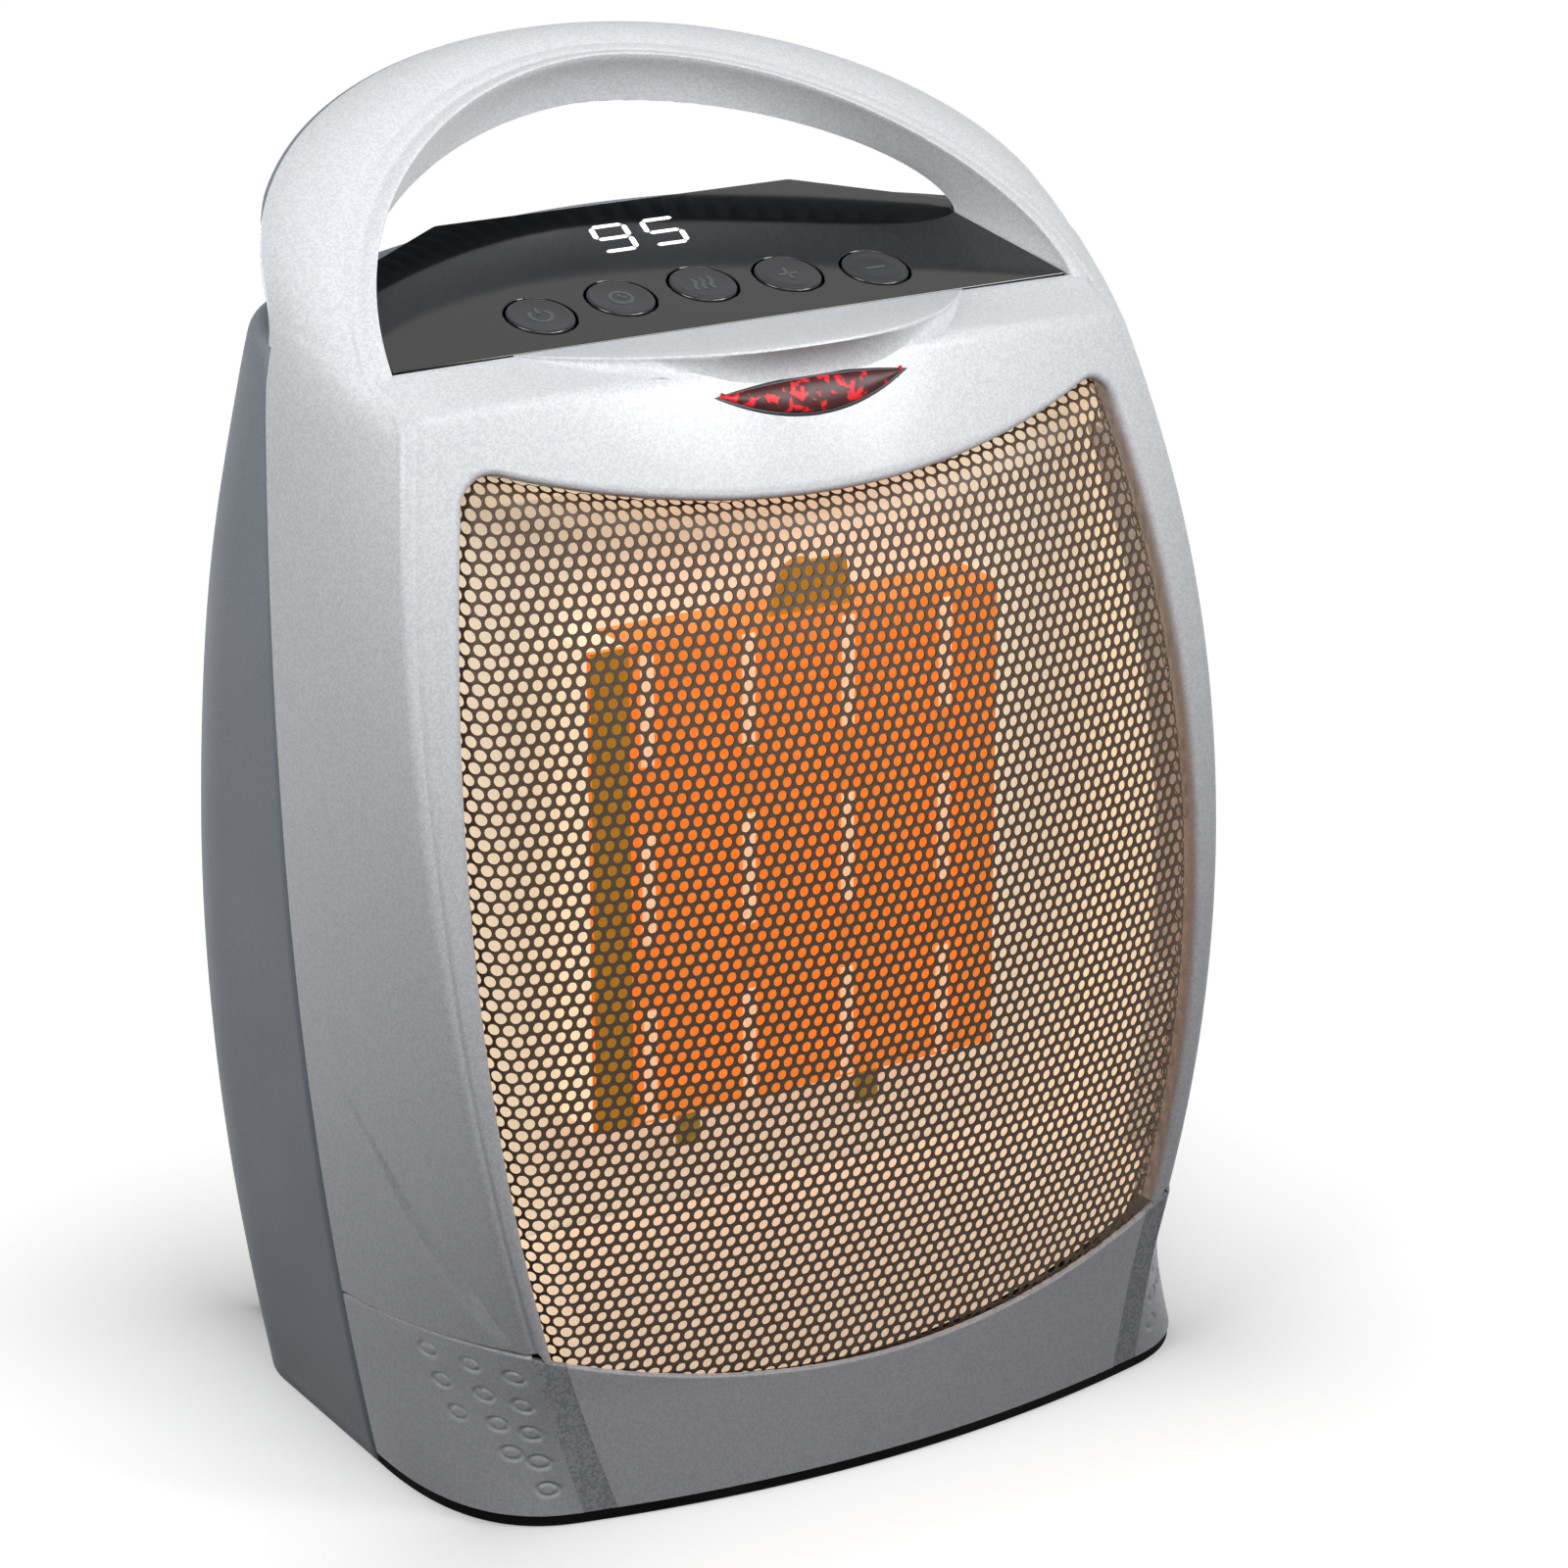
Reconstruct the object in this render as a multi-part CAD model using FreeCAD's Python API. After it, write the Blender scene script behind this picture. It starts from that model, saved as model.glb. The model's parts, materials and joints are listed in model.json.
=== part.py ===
import FreeCAD, Part
import math
import os

V = FreeCAD.Vector
AXIS_Y = V(0, 1, 0)
AXIS_Z = V(0, 0, 1)

# Housing outline: half width of the front crease and of the split between the shells
crease_half_max = 85.4
crease_max_z = 135.0
crease_radius_low = 360.0
crease_radius_high = 265.0
split_half_max = 92.0
split_max_z = 112.0
split_radius_low = 720.0
split_radius_high = 1060.0

# Side profile: the crease stands upright and then leans back on an arc, the split is a leaning plane
crease_foot_y = -60.5
lean_start_z = 40.0
lean_radius = 456.0
split_foot_y = -22.2
split_lean = 0.114
front_radius = 250.0
side_bulge = 1.5
corner_bulge = 4.5
corner_height = 60.0
loft_heights = (0.0, 20.0, 40.0, 80.0, 125.0, 170.0, 204.0, 224.0)
plain_heights = (0.0, 40.0, 80.0, 125.0, 170.0, 224.0)
plain_facets = 6

# Rear shell: height, depth of its back and rounding of its side edges; the back bows in plan
rear_stations = (
    (0.0, 52.0, 20.0), (40.0, 62.5, 22.0), (92.0, 69.4, 22.0), (130.0, 68.4, 22.0),
    (167.0, 62.5, 22.0), (197.0, 51.0, 20.0), (224.0, 31.0, 12.0),
)
rear_radius = 200.0
outer_facets = (4, 6)
inner_facets = (2, 3)

# Side counts of the faceted rods, and a reach that clears the whole housing
round_sides = 20
small_sides = 16
post_sides = 8
duct_sides = 24
far = 150.0

# Walls, gaps and fits
wall = 2.6
shell_gap = 0.3
fit_gap = 0.3
seat_gap = 0.05
running_gap = 0.05

# Base
foot_height = 1.2
foot_radius = 6.0
foot_x = 56.0
foot_front_y = -42.0
foot_rear_y = 30.0
foot_sunk = 0.8
plate_bottom = 1.0
plate_thick = 2.2
plate_inset = 1.0
seam_centre_z = 22.5
seam_crease_z = 35.5
seam_crease_x = 72.0
dimple_radius = 2.3
dimple_height = 0.7
dimple_sunk = 1.6
dimple_sides = 6
dimple_out = (0.86, -0.5)
dimple_spots = (
    (-39.6, 30.9), (-48.6, 30.4), (-56.2, 29.8), (-42.0, 25.0), (-49.9, 24.3), (-56.8, 23.8),
    (-44.3, 19.1), (-51.4, 18.4), (-57.3, 17.7), (-52.6, 12.5), (-57.6, 11.9), (-57.9, 7.6),
)

# Grille window and the recessed grille
window_half_max = 77.8
window_max_z = 117.0
window_radius = 310.0
window_top_centre_z = 185.1
window_top_corner_z = 195.5
window_top_corner_x = 66.0
grille_recess = 8.0
grille_sheet = 1.0
grille_bow = 0.16
grille_columns = 7
grille_rows = 8
grille_low_z = 20.0
grille_high_z = 200.0
grille_web = 0.6
rim_recess = 1.2

# Slanted groove on each side wall, as depth and height from its top to its end
groove_depth = 1.2
groove_top = V(0, -26.0, 78.3)
groove_mid = V(0, -40.6, 58.6)
groove_end = V(0, -56.8, 38.0)
groove_lip = V(0, 1.2, 1.0)
groove_fade = V(0, 4.2, -2.6)

# Top of the housing and control panel
bezel_top_z = 205.5
bezel_top_y = -31.0
panel_front_y = -18.0
panel_front_z = 210.0
panel_tilt = 15.5
panel_thick = 3.0
panel_gap = 0.2
panel_ledge = 3.5
panel_half_front = 75.4
panel_half_side = 67.6
panel_side_depth = 33.0
panel_half_rear = 39.0
panel_depth = 49.6
brow_half = 47.0
brow_front_y = -41.8
brow_height = 2.6
brow_root = 4.0
brow_lead = 2.0
panel_room_depth = 60.0

# Buttons, board and display
button_radius = 6.8
button_sides = 20
button_x = (-36.0, -18.0, 0.0, 18.0, 36.0)
button_depth = (12.0, 14.2, 15.0, 14.2, 12.0)
button_names = ("power", "timer", "mode", "plus", "minus")
button_proud = 0.5
button_travel = 1.0
button_body = 3.7
tab_extra = 1.4
tab_width = 4.0
board_gap = 4.2
board_thick = 1.6
board_half = 46.0
board_front = 4.5
board_rear = 42.0
switch_side = 6.0
switch_height = 1.6
stem_half = 1.5
stem_gap = 0.15
board_post_radius = 2.4
board_posts = ((-43.0, 25.0), (43.0, 25.0), (-27.0, 39.0), (27.0, 39.0))
panel_cut = 10.0
roof_cut = 20.0
window_thick = 0.8
window_half = 32.0
window_front = 28.0
window_rear = 43.5
window_corner = 1.5
display_width = 40.0
display_depth = 11.0

# Indicator
lens_half = 19.4
lens_low_z = 199.2
lens_tip_z = 203.8
lens_high_z = 205.0
lens_proud = 0.4
lens_flange = 1.2
lamp_radius = 1.5
lamp_length = 4.0
lamp_rim = 0.3
lamp_base = 1.2

# Handle: three outlines that meet in each cross-section
handle_stations = 19
handle_foot_drop = V(0, -6.0, -16.0)
handle_foot_spread = V(1.2, 0, 0)
nose_base = V(73.0, -19.5, 208.0)
nose_apex = V(0, 37.0, 250.2)
nose_power = 1.87
nose_lean = 1.15
outer_base = V(83.6, 5.0, 217.0)
outer_apex = V(0, 57.0, 252.6)
outer_power = 2.0
outer_lean = 1.2
inner_base = V(64.5, 9.5, 217.0)
inner_apex = V(0, 41.0, 240.4)
inner_power = 1.8
inner_lean = 1.6
nose_width = 1.8
nose_swell = 0.6
nose_proud = 0.8
crown_swell = 1.0
grip_bulge = 4.0
grip_shoulder = 0.28
grip_skip = 4
rib_count = 7
rib_radius = 2.4
rib_sides = 4
rib_pitch = 7.0
rib_sunk = 2.0
rib_run = V(0, 1, 0.55)
rib_length = 14.0

# Heating block
block_half = 44.0
block_low_z = 64.5
block_high_z = 158.5
block_front_y = -37.5
block_depth = 15.0
frame_bar = 7.0
frame_cap = 6.0
bar_x = (-32.3, -10.8, 10.8, 32.3)
bar_width = 3.6
bar_inset = 0.6
fin_pitch = 18.0
fin_thick = 0.7
fin_inset = 1.2
spine_depth = 6.5
terminal_size = (5.0, 10.0, 0.8)
terminal_x = 20.0
terminal_depth = 7.0

# Thermal cut-out on its bracket above the heating block
tab_x = 4.0
tab_depth = 2.0
tab_thick = 1.2
tab_foot_half = 9.0
tab_head = (-6.0, 7.5)
tab_height = 9.5
cutoff_rise = 5.0
cutoff_radius = 4.2
cutoff_length = 3.5
cutoff_cap_radius = 3.0
cutoff_cap_length = 2.0

# Air path and fan
fan_z = 111.0
plate_y = -25.0
duct_plate = 2.0
duct_radius = 51.0
duct_wall = 1.8
duct_low_z = 40.0
duct_high_z = 186.0
shroud_front_y = -8.0
shroud_rear_y = 14.0
shroud_flange = 5.0
shroud_sides = 8
shroud_lip = 1.0
blade_count = 7
blade_thick = 1.6
blade_sections = ((12.0, 52.0, 13.0), (30.0, 42.0, 17.0), (46.0, 32.0, 21.0))
blade_y = 1.0
hub_radius = 15.0
hub_front_y = -6.0
hub_rear_y = 8.0
shaft_radius = 1.6
bracket_thick = 1.5
bracket_width = 16.0
motor_radius = 19.0
motor_length = 28.0
bearing_radius = 4.0
bearing_length = 5.0
bearing_inset = 1.5
bearing_clear = 2.0
bearing_wall = 1.6
shaft_clear = 1.0
shaft_nose = 3.0
clip_radius = 4.0
clip_thick = 1.2
clip_sides = 6

# Boards and safety switch in the base
power_board_size = (96.0, 46.0, 1.6)
power_board_y = 22.0
power_board_z = 12.0
post_radius = 3.0
post_x = 42.0
post_y = 18.0
relay_size = (19.0, 15.0, 16.0)
relay_x = (-24.0, 6.0)
relay_chamfer = 1.0
plunger_radius = 4.0
plunger_y = -32.0
plunger_top = 15.0
plunger_rest = 0.3
plunger_travel = 4.0
collar_extra = 2.0
collar_thick = 1.4
guide_wall = 2.6
switch_size = (20.0, 10.0, 12.0)
switch_lift = 0.6
switch_setback = 10.0
switch_chamfer = 0.8
leg_thick = 3.0

# Rear details
slot_count = 9
slot_pitch = 11.0
slot_height = 5.0
slot_half = 46.0
slot_field = 60.0
slot_front_y = 40.0
screw_x = 58.0
screw_seat_depth = 34.0
boss_start_depth = 12.0
screw_sides = 10
screw_low_z = 30.0
screw_high_z = 168.0
screw_head_radius = 3.4
screw_head_height = 2.4
screw_shank_radius = 1.5
screw_shank_length = 12.0
boss_radius = 6.0
inlet_radius = 8.0
inlet_bore = 3.6
inlet_z = 20.0
inlet_hole = 6.0
inlet_collar = 1.6
inlet_length = 9.0
inlet_rim = 1.0
inlet_cut = 40.0


def bow(z, peak, z_peak, radius_low, radius_high):
    """Half width of an outline that bows out to its peak."""
    radius = radius_low if z < z_peak else radius_high
    return peak - (z - z_peak) ** 2 / (2.0 * radius)


def crease_half(z):
    return bow(z, crease_half_max, crease_max_z, crease_radius_low, crease_radius_high)


def crease_y(z):
    rise = max(z - lean_start_z, 0.0)
    return crease_foot_y + rise * rise / (2.0 * lean_radius)


def split_half(z):
    return bow(z, split_half_max, split_max_z, split_radius_low, split_radius_high)


def split_y(z):
    return split_foot_y + split_lean * z


def front_bow(z):
    return crease_half(z) ** 2 / (2.0 * front_radius)


def front_y(x, z):
    return crease_y(z) - (crease_half(z) ** 2 - x * x) / (2.0 * front_radius)


def window_half_at(z):
    return bow(z, window_half_max, window_max_z, window_radius, window_radius)


def line(a, b):
    return Part.makeLine(a, b)


def arc(a, b, c):
    return Part.Arc(a, b, c).toShape()


def polygon(points):
    return Part.makePolygon(list(points) + [points[0]])


def prism(points, direction):
    return Part.Face(polygon(points)).extrude(direction)


def box(x0, x1, y0, y1, z0, z1):
    return Part.makeBox(x1 - x0, y1 - y0, z1 - z0, V(x0, y0, z0))


def rod(radius, start, direction, length):
    return Part.makeCylinder(radius, length, start, direction)


def facet_rod(sides, radius, start, direction, length):
    """Plain prism with a regular outline, for small hidden posts."""
    turns = [2.0 * math.pi * (i + 0.5) / sides for i in range(sides)]
    flat = [V(radius * math.cos(t), radius * math.sin(t), 0) for t in turns]
    body = prism(flat, V(0, 0, length))
    body.Placement = FreeCAD.Placement(start, FreeCAD.Rotation(AXIS_Z, direction))
    return body


def facet_loft(rings):
    """Solid skinned in flat triangles through rings of corner points, with flat ends."""
    faces = [Part.Face(polygon(rings[0])), Part.Face(polygon(rings[-1]))]
    for low, high in zip(rings, rings[1:]):
        for i in range(len(low)):
            j = (i + 1) % len(low)
            faces.append(Part.Face(polygon([low[i], low[j], high[j]])))
            faces.append(Part.Face(polygon([low[i], high[j], high[i]])))
    body = Part.Solid(Part.makeShell(faces))
    if body.Volume < 0:
        body.reverse()
    return body


def flat_loft(rings):
    """Solid skinned in flat four-sided cells; the rings' edges run parallel."""
    faces = [Part.Face(polygon(rings[0])), Part.Face(polygon(rings[-1]))]
    for low, high in zip(rings, rings[1:]):
        for i in range(len(low)):
            j = (i + 1) % len(low)
            faces.append(Part.Face(polygon([low[i], low[j], high[j], high[i]])))
    body = Part.Solid(Part.makeShell(faces))
    if body.Volume < 0:
        body.reverse()
    return body


def front_section(z, inset, back):
    """Plan outline of the front half at one height: two side arcs, a front arc and the split."""
    half_c = crease_half(z) - inset
    half_s = split_half(z) - inset
    y_c = crease_y(z) + inset
    y_s = split_y(z) + back
    drop = max(1.0 - z / corner_height, 0.0)
    swell = side_bulge + corner_bulge * drop * drop
    run = V(half_s - half_c, y_s - y_c, 0)
    out = V(run.y, -run.x, 0).normalize().multiply(swell)
    mid = V((half_c + half_s) / 2.0, (y_c + y_s) / 2.0, z) + out
    left, right = V(-half_s, y_s, z), V(half_s, y_s, z)
    c_left, c_right = V(-half_c, y_c, z), V(half_c, y_c, z)
    mid_left = V(-mid.x, mid.y, z)
    nose = V(0, y_c - front_bow(z), z)
    walls = [arc(left, mid_left, c_left), arc(c_left, nose, c_right), arc(c_right, mid, right)]
    return Part.Wire(walls + [line(right, left)])


def front_solid(inset, back):
    return Part.makeLoft([front_section(z, inset, back) for z in loft_heights], True, False)


def plain_section(z, inset, back):
    """The same plan outline in straight facets, for skins that are seldom seen."""
    half_c = crease_half(z) - inset
    half_s = split_half(z) - inset
    y_s = split_y(z) + back
    points = []
    for i in range(plain_facets + 1):
        x = half_c * (2.0 * i / plain_facets - 1.0)
        rise = front_bow(z) * (1.0 - (x / half_c) ** 2)
        points.append(V(x, crease_y(z) + inset - rise, z))
    return [V(-half_s, y_s, z)] + points + [V(half_s, y_s, z)]


def plain_solid(inset, back):
    return facet_loft([plain_section(z, inset, back) for z in plain_heights])


def rear_section(station, inset, gap, facets):
    """Plan outline of the rear half: straight sides, rounded edges and a bowed back."""
    z, back, edge_radius = station
    half = split_half(z) - inset
    radius = edge_radius - inset
    centre_x = half - radius
    slope = math.atan(centre_x / rear_radius)
    join_x = centre_x + radius * math.sin(slope)

    def back_y(x):
        return back - inset - x * x / (2.0 * rear_radius)

    centre_y = back_y(join_x) - radius * math.cos(slope)
    right = [V(half, split_y(z) + gap, z)]
    for i in range(facets[0] + 1):
        turn = (math.pi / 2.0 - slope) * i / facets[0]
        right.append(V(centre_x + radius * math.cos(turn), centre_y + radius * math.sin(turn), z))
    for i in range(1, (facets[1] + 1) // 2):
        x = join_x * (1.0 - 2.0 * i / facets[1])
        right.append(V(x, back_y(x), z))
    left = [V(-p.x, p.y, p.z) for p in reversed(right)]
    middle = [V(0, back_y(0.0), z)] if facets[1] % 2 == 0 else []
    return right + middle + left


def rear_solid(inset, gap, facets):
    return facet_loft([rear_section(s, inset, gap, facets) for s in rear_stations])


def above(profile):
    """Block above a line of (y, z) points, used to trim the tops of the shells."""
    points = [V(-far, y, z) for y, z in profile]
    points += [V(-far, profile[-1][0], 3.0 * far), V(-far, profile[0][0], 3.0 * far)]
    return prism(points, V(2.0 * far, 0, 0))


def panel_place(shape):
    """Turn a shape from panel axes (x, depth, height) into place."""
    shape = shape.copy()
    shape.rotate(V(0, 0, 0), V(1, 0, 0), panel_tilt)
    shape.translate(V(0, panel_front_y, panel_front_z))
    return shape


def panel_z(y):
    return panel_front_z + (y - panel_front_y) * math.tan(math.radians(panel_tilt))


def above_panel_plane(drop):
    return above([(y, panel_z(y) - drop) for y in (-far, far)])


def panel_outline(inset):
    """Corner points of the control panel in its own axes, shrunk by an inset."""
    right = [
        V(panel_half_front - inset, panel_gap + inset, 0), V(panel_half_side - inset, panel_side_depth, 0),
        V(panel_half_rear - inset / 2.0, panel_depth - inset, 0),
    ]
    return right + [V(-p.x, p.y, 0) for p in reversed(right)]


def seam_cutter(lift):
    """Everything below the seam between the front shell and the base cover."""
    low, side = seam_centre_z + lift, seam_crease_z + lift
    start, end = V(-seam_crease_x, -far, side), V(seam_crease_x, -far, side)
    edges = [
        line(V(-far, -far, side), start),
        arc(start, V(0, -far, low), end),
        line(end, V(far, -far, side)),
        line(V(far, -far, side), V(far, -far, -far)),
        line(V(far, -far, -far), V(-far, -far, -far)),
        line(V(-far, -far, -far), V(-far, -far, side)),
    ]
    return Part.Face(Part.Wire(edges)).extrude(V(0, 2.0 * far, 0))


def window_wire(inset, y):
    """Outline of the grille window in front view, shrunk by an inset."""
    top_x = window_top_corner_x - inset
    top_z = window_top_corner_z - inset
    low_x = window_half_at(seam_crease_z) - inset
    low_z = seam_crease_z - 1.0 + inset
    mid_z = window_max_z
    mid_x = window_half_max - inset
    corners = [V(-low_x, y, low_z), V(low_x, y, low_z), V(top_x, y, top_z), V(-top_x, y, top_z)]
    edges = [
        arc(corners[0], V(0, y, seam_centre_z + inset), corners[1]),
        arc(corners[1], V(mid_x, y, mid_z), corners[2]),
        arc(corners[2], V(0, y, window_top_centre_z - inset), corners[3]),
        arc(corners[3], V(-mid_x, y, mid_z), corners[0]),
    ]
    return Part.Wire(edges)


def window_prism(inset, y0, y1):
    return Part.Face(window_wire(inset, y0)).extrude(V(0, y1 - y0, 0))


def arch_point(base, apex, power, lean, angle, side):
    """Point on one handle outline; a superellipse that rises from the foot and leans back to the apex."""
    across = abs(math.sin(angle)) ** (2.0 / power)
    up = abs(math.cos(angle)) ** (2.0 / power)
    back = base.y + (apex.y - base.y) * up ** lean
    return V(side * base.x * across, back, base.z + (apex.z - base.z) * up)


def handle_frames():
    """Nose, outer and inner points of each handle section from the left foot to the right foot."""
    frames = []
    for i in range(handle_stations):
        angle = math.radians(-90.0 + 180.0 * i / (handle_stations - 1))
        side = -1.0 if angle < 0 else 1.0
        nose = arch_point(nose_base, nose_apex, nose_power, nose_lean, angle, side)
        outer = arch_point(outer_base, outer_apex, outer_power, outer_lean, angle, side)
        inner = arch_point(inner_base, inner_apex, inner_power, inner_lean, angle, side)
        frames.append((nose, outer, inner))
    first, last = frames[0], frames[-1]
    frames.insert(0, tuple(p + handle_foot_drop - handle_foot_spread for p in first))
    frames.append(tuple(p + handle_foot_drop + handle_foot_spread for p in last))
    return frames


def toward(a, b, distance):
    return a + (b - a).normalize().multiply(distance)


def handle_front_section(nose, outer, inner):
    rise = (outer - inner).normalize()
    middle = (outer + inner) * 0.5
    tip_out = toward(nose, outer, nose_width) + rise * nose_swell
    tip_in = toward(nose, inner, nose_width) - rise * nose_swell
    tip = nose + (nose - middle).normalize() * nose_proud
    crown = (tip_out + outer) * 0.5 + rise * crown_swell
    return [tip_in, tip, tip_out, crown, outer, inner]


def grip_section(nose, outer, inner):
    middle = (outer + inner) * 0.5
    back = (middle - nose).normalize()
    start, end = outer + back * seat_gap, inner + back * seat_gap
    across = (inner - outer) * grip_shoulder
    upper = outer + across + back * grip_bulge
    lower = inner - across + back * grip_bulge
    return [start, end, lower, upper]


frames = handle_frames()
handle_front = facet_loft([handle_front_section(*f) for f in frames])


def clear_of_handle(shape, gap):
    """The main solid left of a shape once the handle's pillars, with a gap round them, are cut out."""
    for dx, dy in ((-gap, 0.0), (gap, 0.0), (0.0, gap), (0.0, -gap)):
        room = handle_front.copy()
        room.translate(V(dx, dy, 0))
        shape = shape.cut(room)
    return max(shape.Solids, key=lambda s: s.Volume)


handle_grip = facet_loft([grip_section(*f) for f in frames[grip_skip:-grip_skip]])
for i in range(rib_count):
    spread = (i - (rib_count - 1) / 2.0) * rib_pitch
    rib_start = V(spread, inner_apex.y - rib_sunk, inner_apex.z - rib_sunk)
    rib = facet_rod(rib_sides, rib_radius, rib_start, rib_run, rib_length)
    handle_grip = handle_grip.cut(rib)

# Front half of the housing
outer_front = front_solid(0.0, 0.0)
inner_front = plain_solid(wall, 1.0)
top_line = [(-far, bezel_top_z), (bezel_top_y, bezel_top_z)]
top_line += [(panel_front_y, panel_front_z), (far, panel_z(far))]
under_line = [(-far, bezel_top_z - wall), (bezel_top_y, bezel_top_z - wall)]
under_line += [(panel_front_y, panel_front_z - wall), (panel_front_y + seat_gap, panel_front_z + roof_cut)]
under_line += [(far, panel_z(far) + roof_cut)]
skin = outer_front.cut(above(top_line))
hollow = inner_front.cut(above(under_line))
front_skin = skin.cut(hollow)
room_half = panel_half_front + panel_gap
panel_room = box(-room_half, room_half, panel_front_y, panel_room_depth, panel_front_z - roof_cut, 2.0 * far)

# Brow over the indicator: a crescent lip on the sloped bezel
brow_face = Part.Face(Part.Wire([
    arc(V(-brow_half, panel_front_y, 0), V(0, brow_front_y, 0), V(brow_half, panel_front_y, 0)),
    line(V(brow_half, panel_front_y, 0), V(-brow_half, panel_front_y, 0)),
]))
brow = brow_face.extrude(V(0, 0, 2.0 * far))
brow_lead_y = brow_front_y - brow_lead
brow = brow.common(prism([
    V(-far, panel_front_y, panel_front_z - brow_root), V(-far, panel_front_y, panel_front_z),
    V(-far, brow_lead_y, bezel_top_z + brow_height), V(-far, brow_lead_y, bezel_top_z - brow_lead),
], V(2.0 * far, 0, 0)))

front_full = front_skin.cut(panel_room).fuse([brow, handle_front]).removeSplitter()

# Grille window, lens hole and side grooves
lens_wire = Part.Wire([
    arc(V(-lens_half, -far, lens_tip_z), V(0, -far, lens_low_z), V(lens_half, -far, lens_tip_z)),
    arc(V(lens_half, -far, lens_tip_z), V(0, -far, lens_high_z), V(-lens_half, -far, lens_tip_z)),
])
lens_prism = Part.Face(lens_wire).extrude(V(0, far, 0))
lens_hole_wire = lens_wire.makeOffset2D(fit_gap)
lens_hole_end = front_y(0.0, lens_low_z) + 2.0 * wall + lens_flange
lens_hole = Part.Face(lens_hole_wire).extrude(V(0, far + lens_hole_end, 0))
front_full = front_full.cut(window_prism(0.0, -far, plate_y))
front_full = front_full.cut(lens_hole)

groove_face = Part.Face(Part.Wire([
    arc(groove_top, groove_mid + groove_lip, groove_end),
    arc(groove_end, groove_mid + groove_fade, groove_top),
]))
groove_skin = outer_front.cut(front_solid(groove_depth, 1.0))
groove_bar = groove_face.extrude(V(2.0 * far, 0, 0))
groove_bar.translate(V(-far, 0, 0))
front_full = front_full.cut(groove_bar.common(groove_skin))
front_shell = front_full.cut(seam_cutter(shell_gap))

# Base cover with its dimples
base_skin = skin.cut(hollow).common(seam_cutter(0.0))
base_skin = base_skin.cut(box(-far, far, -far, far, -far, plate_bottom + plate_thick))
dimples = []
for y, z in dimple_spots:
    chord = outer_front.common(line(V(0, y, z), V(far, y, z)))
    for side in (1, -1):
        spot = V(side * chord.BoundBox.XMax, y, z)
        out = V(side * dimple_out[0], dimple_out[1], 0)
        root = spot - out * dimple_sunk
        dimples.append(facet_rod(dimple_sides, dimple_radius, root, out, dimple_sunk + dimple_height))
base_cover = base_skin.fuse(dimples).removeSplitter()

# Rear half of the housing
rear_outer = rear_solid(0.0, shell_gap, outer_facets)
roof_drop = panel_thick / math.cos(math.radians(panel_tilt)) + seat_gap
rear_inner = rear_solid(wall, -1.0, inner_facets).cut(above_panel_plane(roof_drop + wall))
rear_block = rear_outer.cut(above_panel_plane(roof_drop))
rear_block = rear_block.cut(box(-far, far, -far, far, -far, plate_bottom + plate_thick))
bosses = []
screw_seats = []
for x in (-screw_x, screw_x):
    for z in (screw_low_z, screw_high_z):
        screw_seats.append((x, split_y(z) + screw_seat_depth, z))
        boss_start = V(x, split_y(z) + boss_start_depth, z)
        bosses.append(facet_rod(small_sides, boss_radius, boss_start, AXIS_Y, far).common(rear_block))
rear_shell = rear_block.cut(rear_inner).fuse(bosses)
for x, seat, z in screw_seats:
    head_room = facet_rod(screw_sides, screw_head_radius + fit_gap, V(x, seat, z), AXIS_Y, far)
    shank_start = V(x, seat - screw_seat_depth, z)
    shank_hole = screw_shank_radius + seat_gap
    shank_room = facet_rod(post_sides, shank_hole, shank_start, AXIS_Y, 2.0 * screw_seat_depth)
    rear_shell = rear_shell.cut([head_room, shank_room])
slots = []
for i in range(slot_count):
    z = fan_z + (i - (slot_count - 1) / 2.0) * slot_pitch
    reach = slot_half * math.sqrt(1.0 - ((z - fan_z) / slot_field) ** 2)
    slots.append(box(-reach, reach, slot_front_y, far, z - slot_height / 2.0, z + slot_height / 2.0))
rear_shell = rear_shell.cut(slots)
inlet_slope = (rear_stations[1][1] - rear_stations[0][1]) / rear_stations[1][0]
inlet_axis = V(0, 1.0, -inlet_slope).normalize()
inlet_mouth = V(0, rear_stations[0][1] + inlet_slope * inlet_z, inlet_z)
inlet_start = inlet_mouth - inlet_axis * inlet_cut * 0.5
rear_shell = rear_shell.cut(facet_rod(round_sides, inlet_hole, inlet_start, inlet_axis, inlet_cut))
roof_opening = prism(panel_outline(panel_ledge), V(0, 0, -roof_cut))
rear_shell = rear_shell.cut(panel_place(roof_opening))
rear_shell = clear_of_handle(rear_shell, shell_gap)

screws = []
for x, seat, z in screw_seats:
    head = facet_rod(screw_sides, screw_head_radius, V(x, seat + seat_gap, z), AXIS_Y, screw_head_height)
    shank_start = V(x, seat - screw_shank_length, z)
    shank_length = screw_shank_length + screw_head_height / 2.0
    shank = facet_rod(post_sides, screw_shank_radius, shank_start, AXIS_Y, shank_length)
    screws.append(head.fuse(shank).removeSplitter())
housing_screws = Part.makeCompound(screws)

bush_back = inlet_mouth - inlet_axis * inlet_length
bush = facet_rod(round_sides, inlet_hole - seat_gap, bush_back, inlet_axis, inlet_length + inlet_rim)
collar = facet_rod(round_sides, inlet_radius, inlet_mouth + inlet_axis * seat_gap, inlet_axis, inlet_collar)
inlet_room = facet_rod(round_sides, inlet_bore, bush_back - inlet_axis * inlet_rim, inlet_axis, inlet_cut)
cord_inlet = bush.fuse(collar).cut(inlet_room).removeSplitter()

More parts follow.
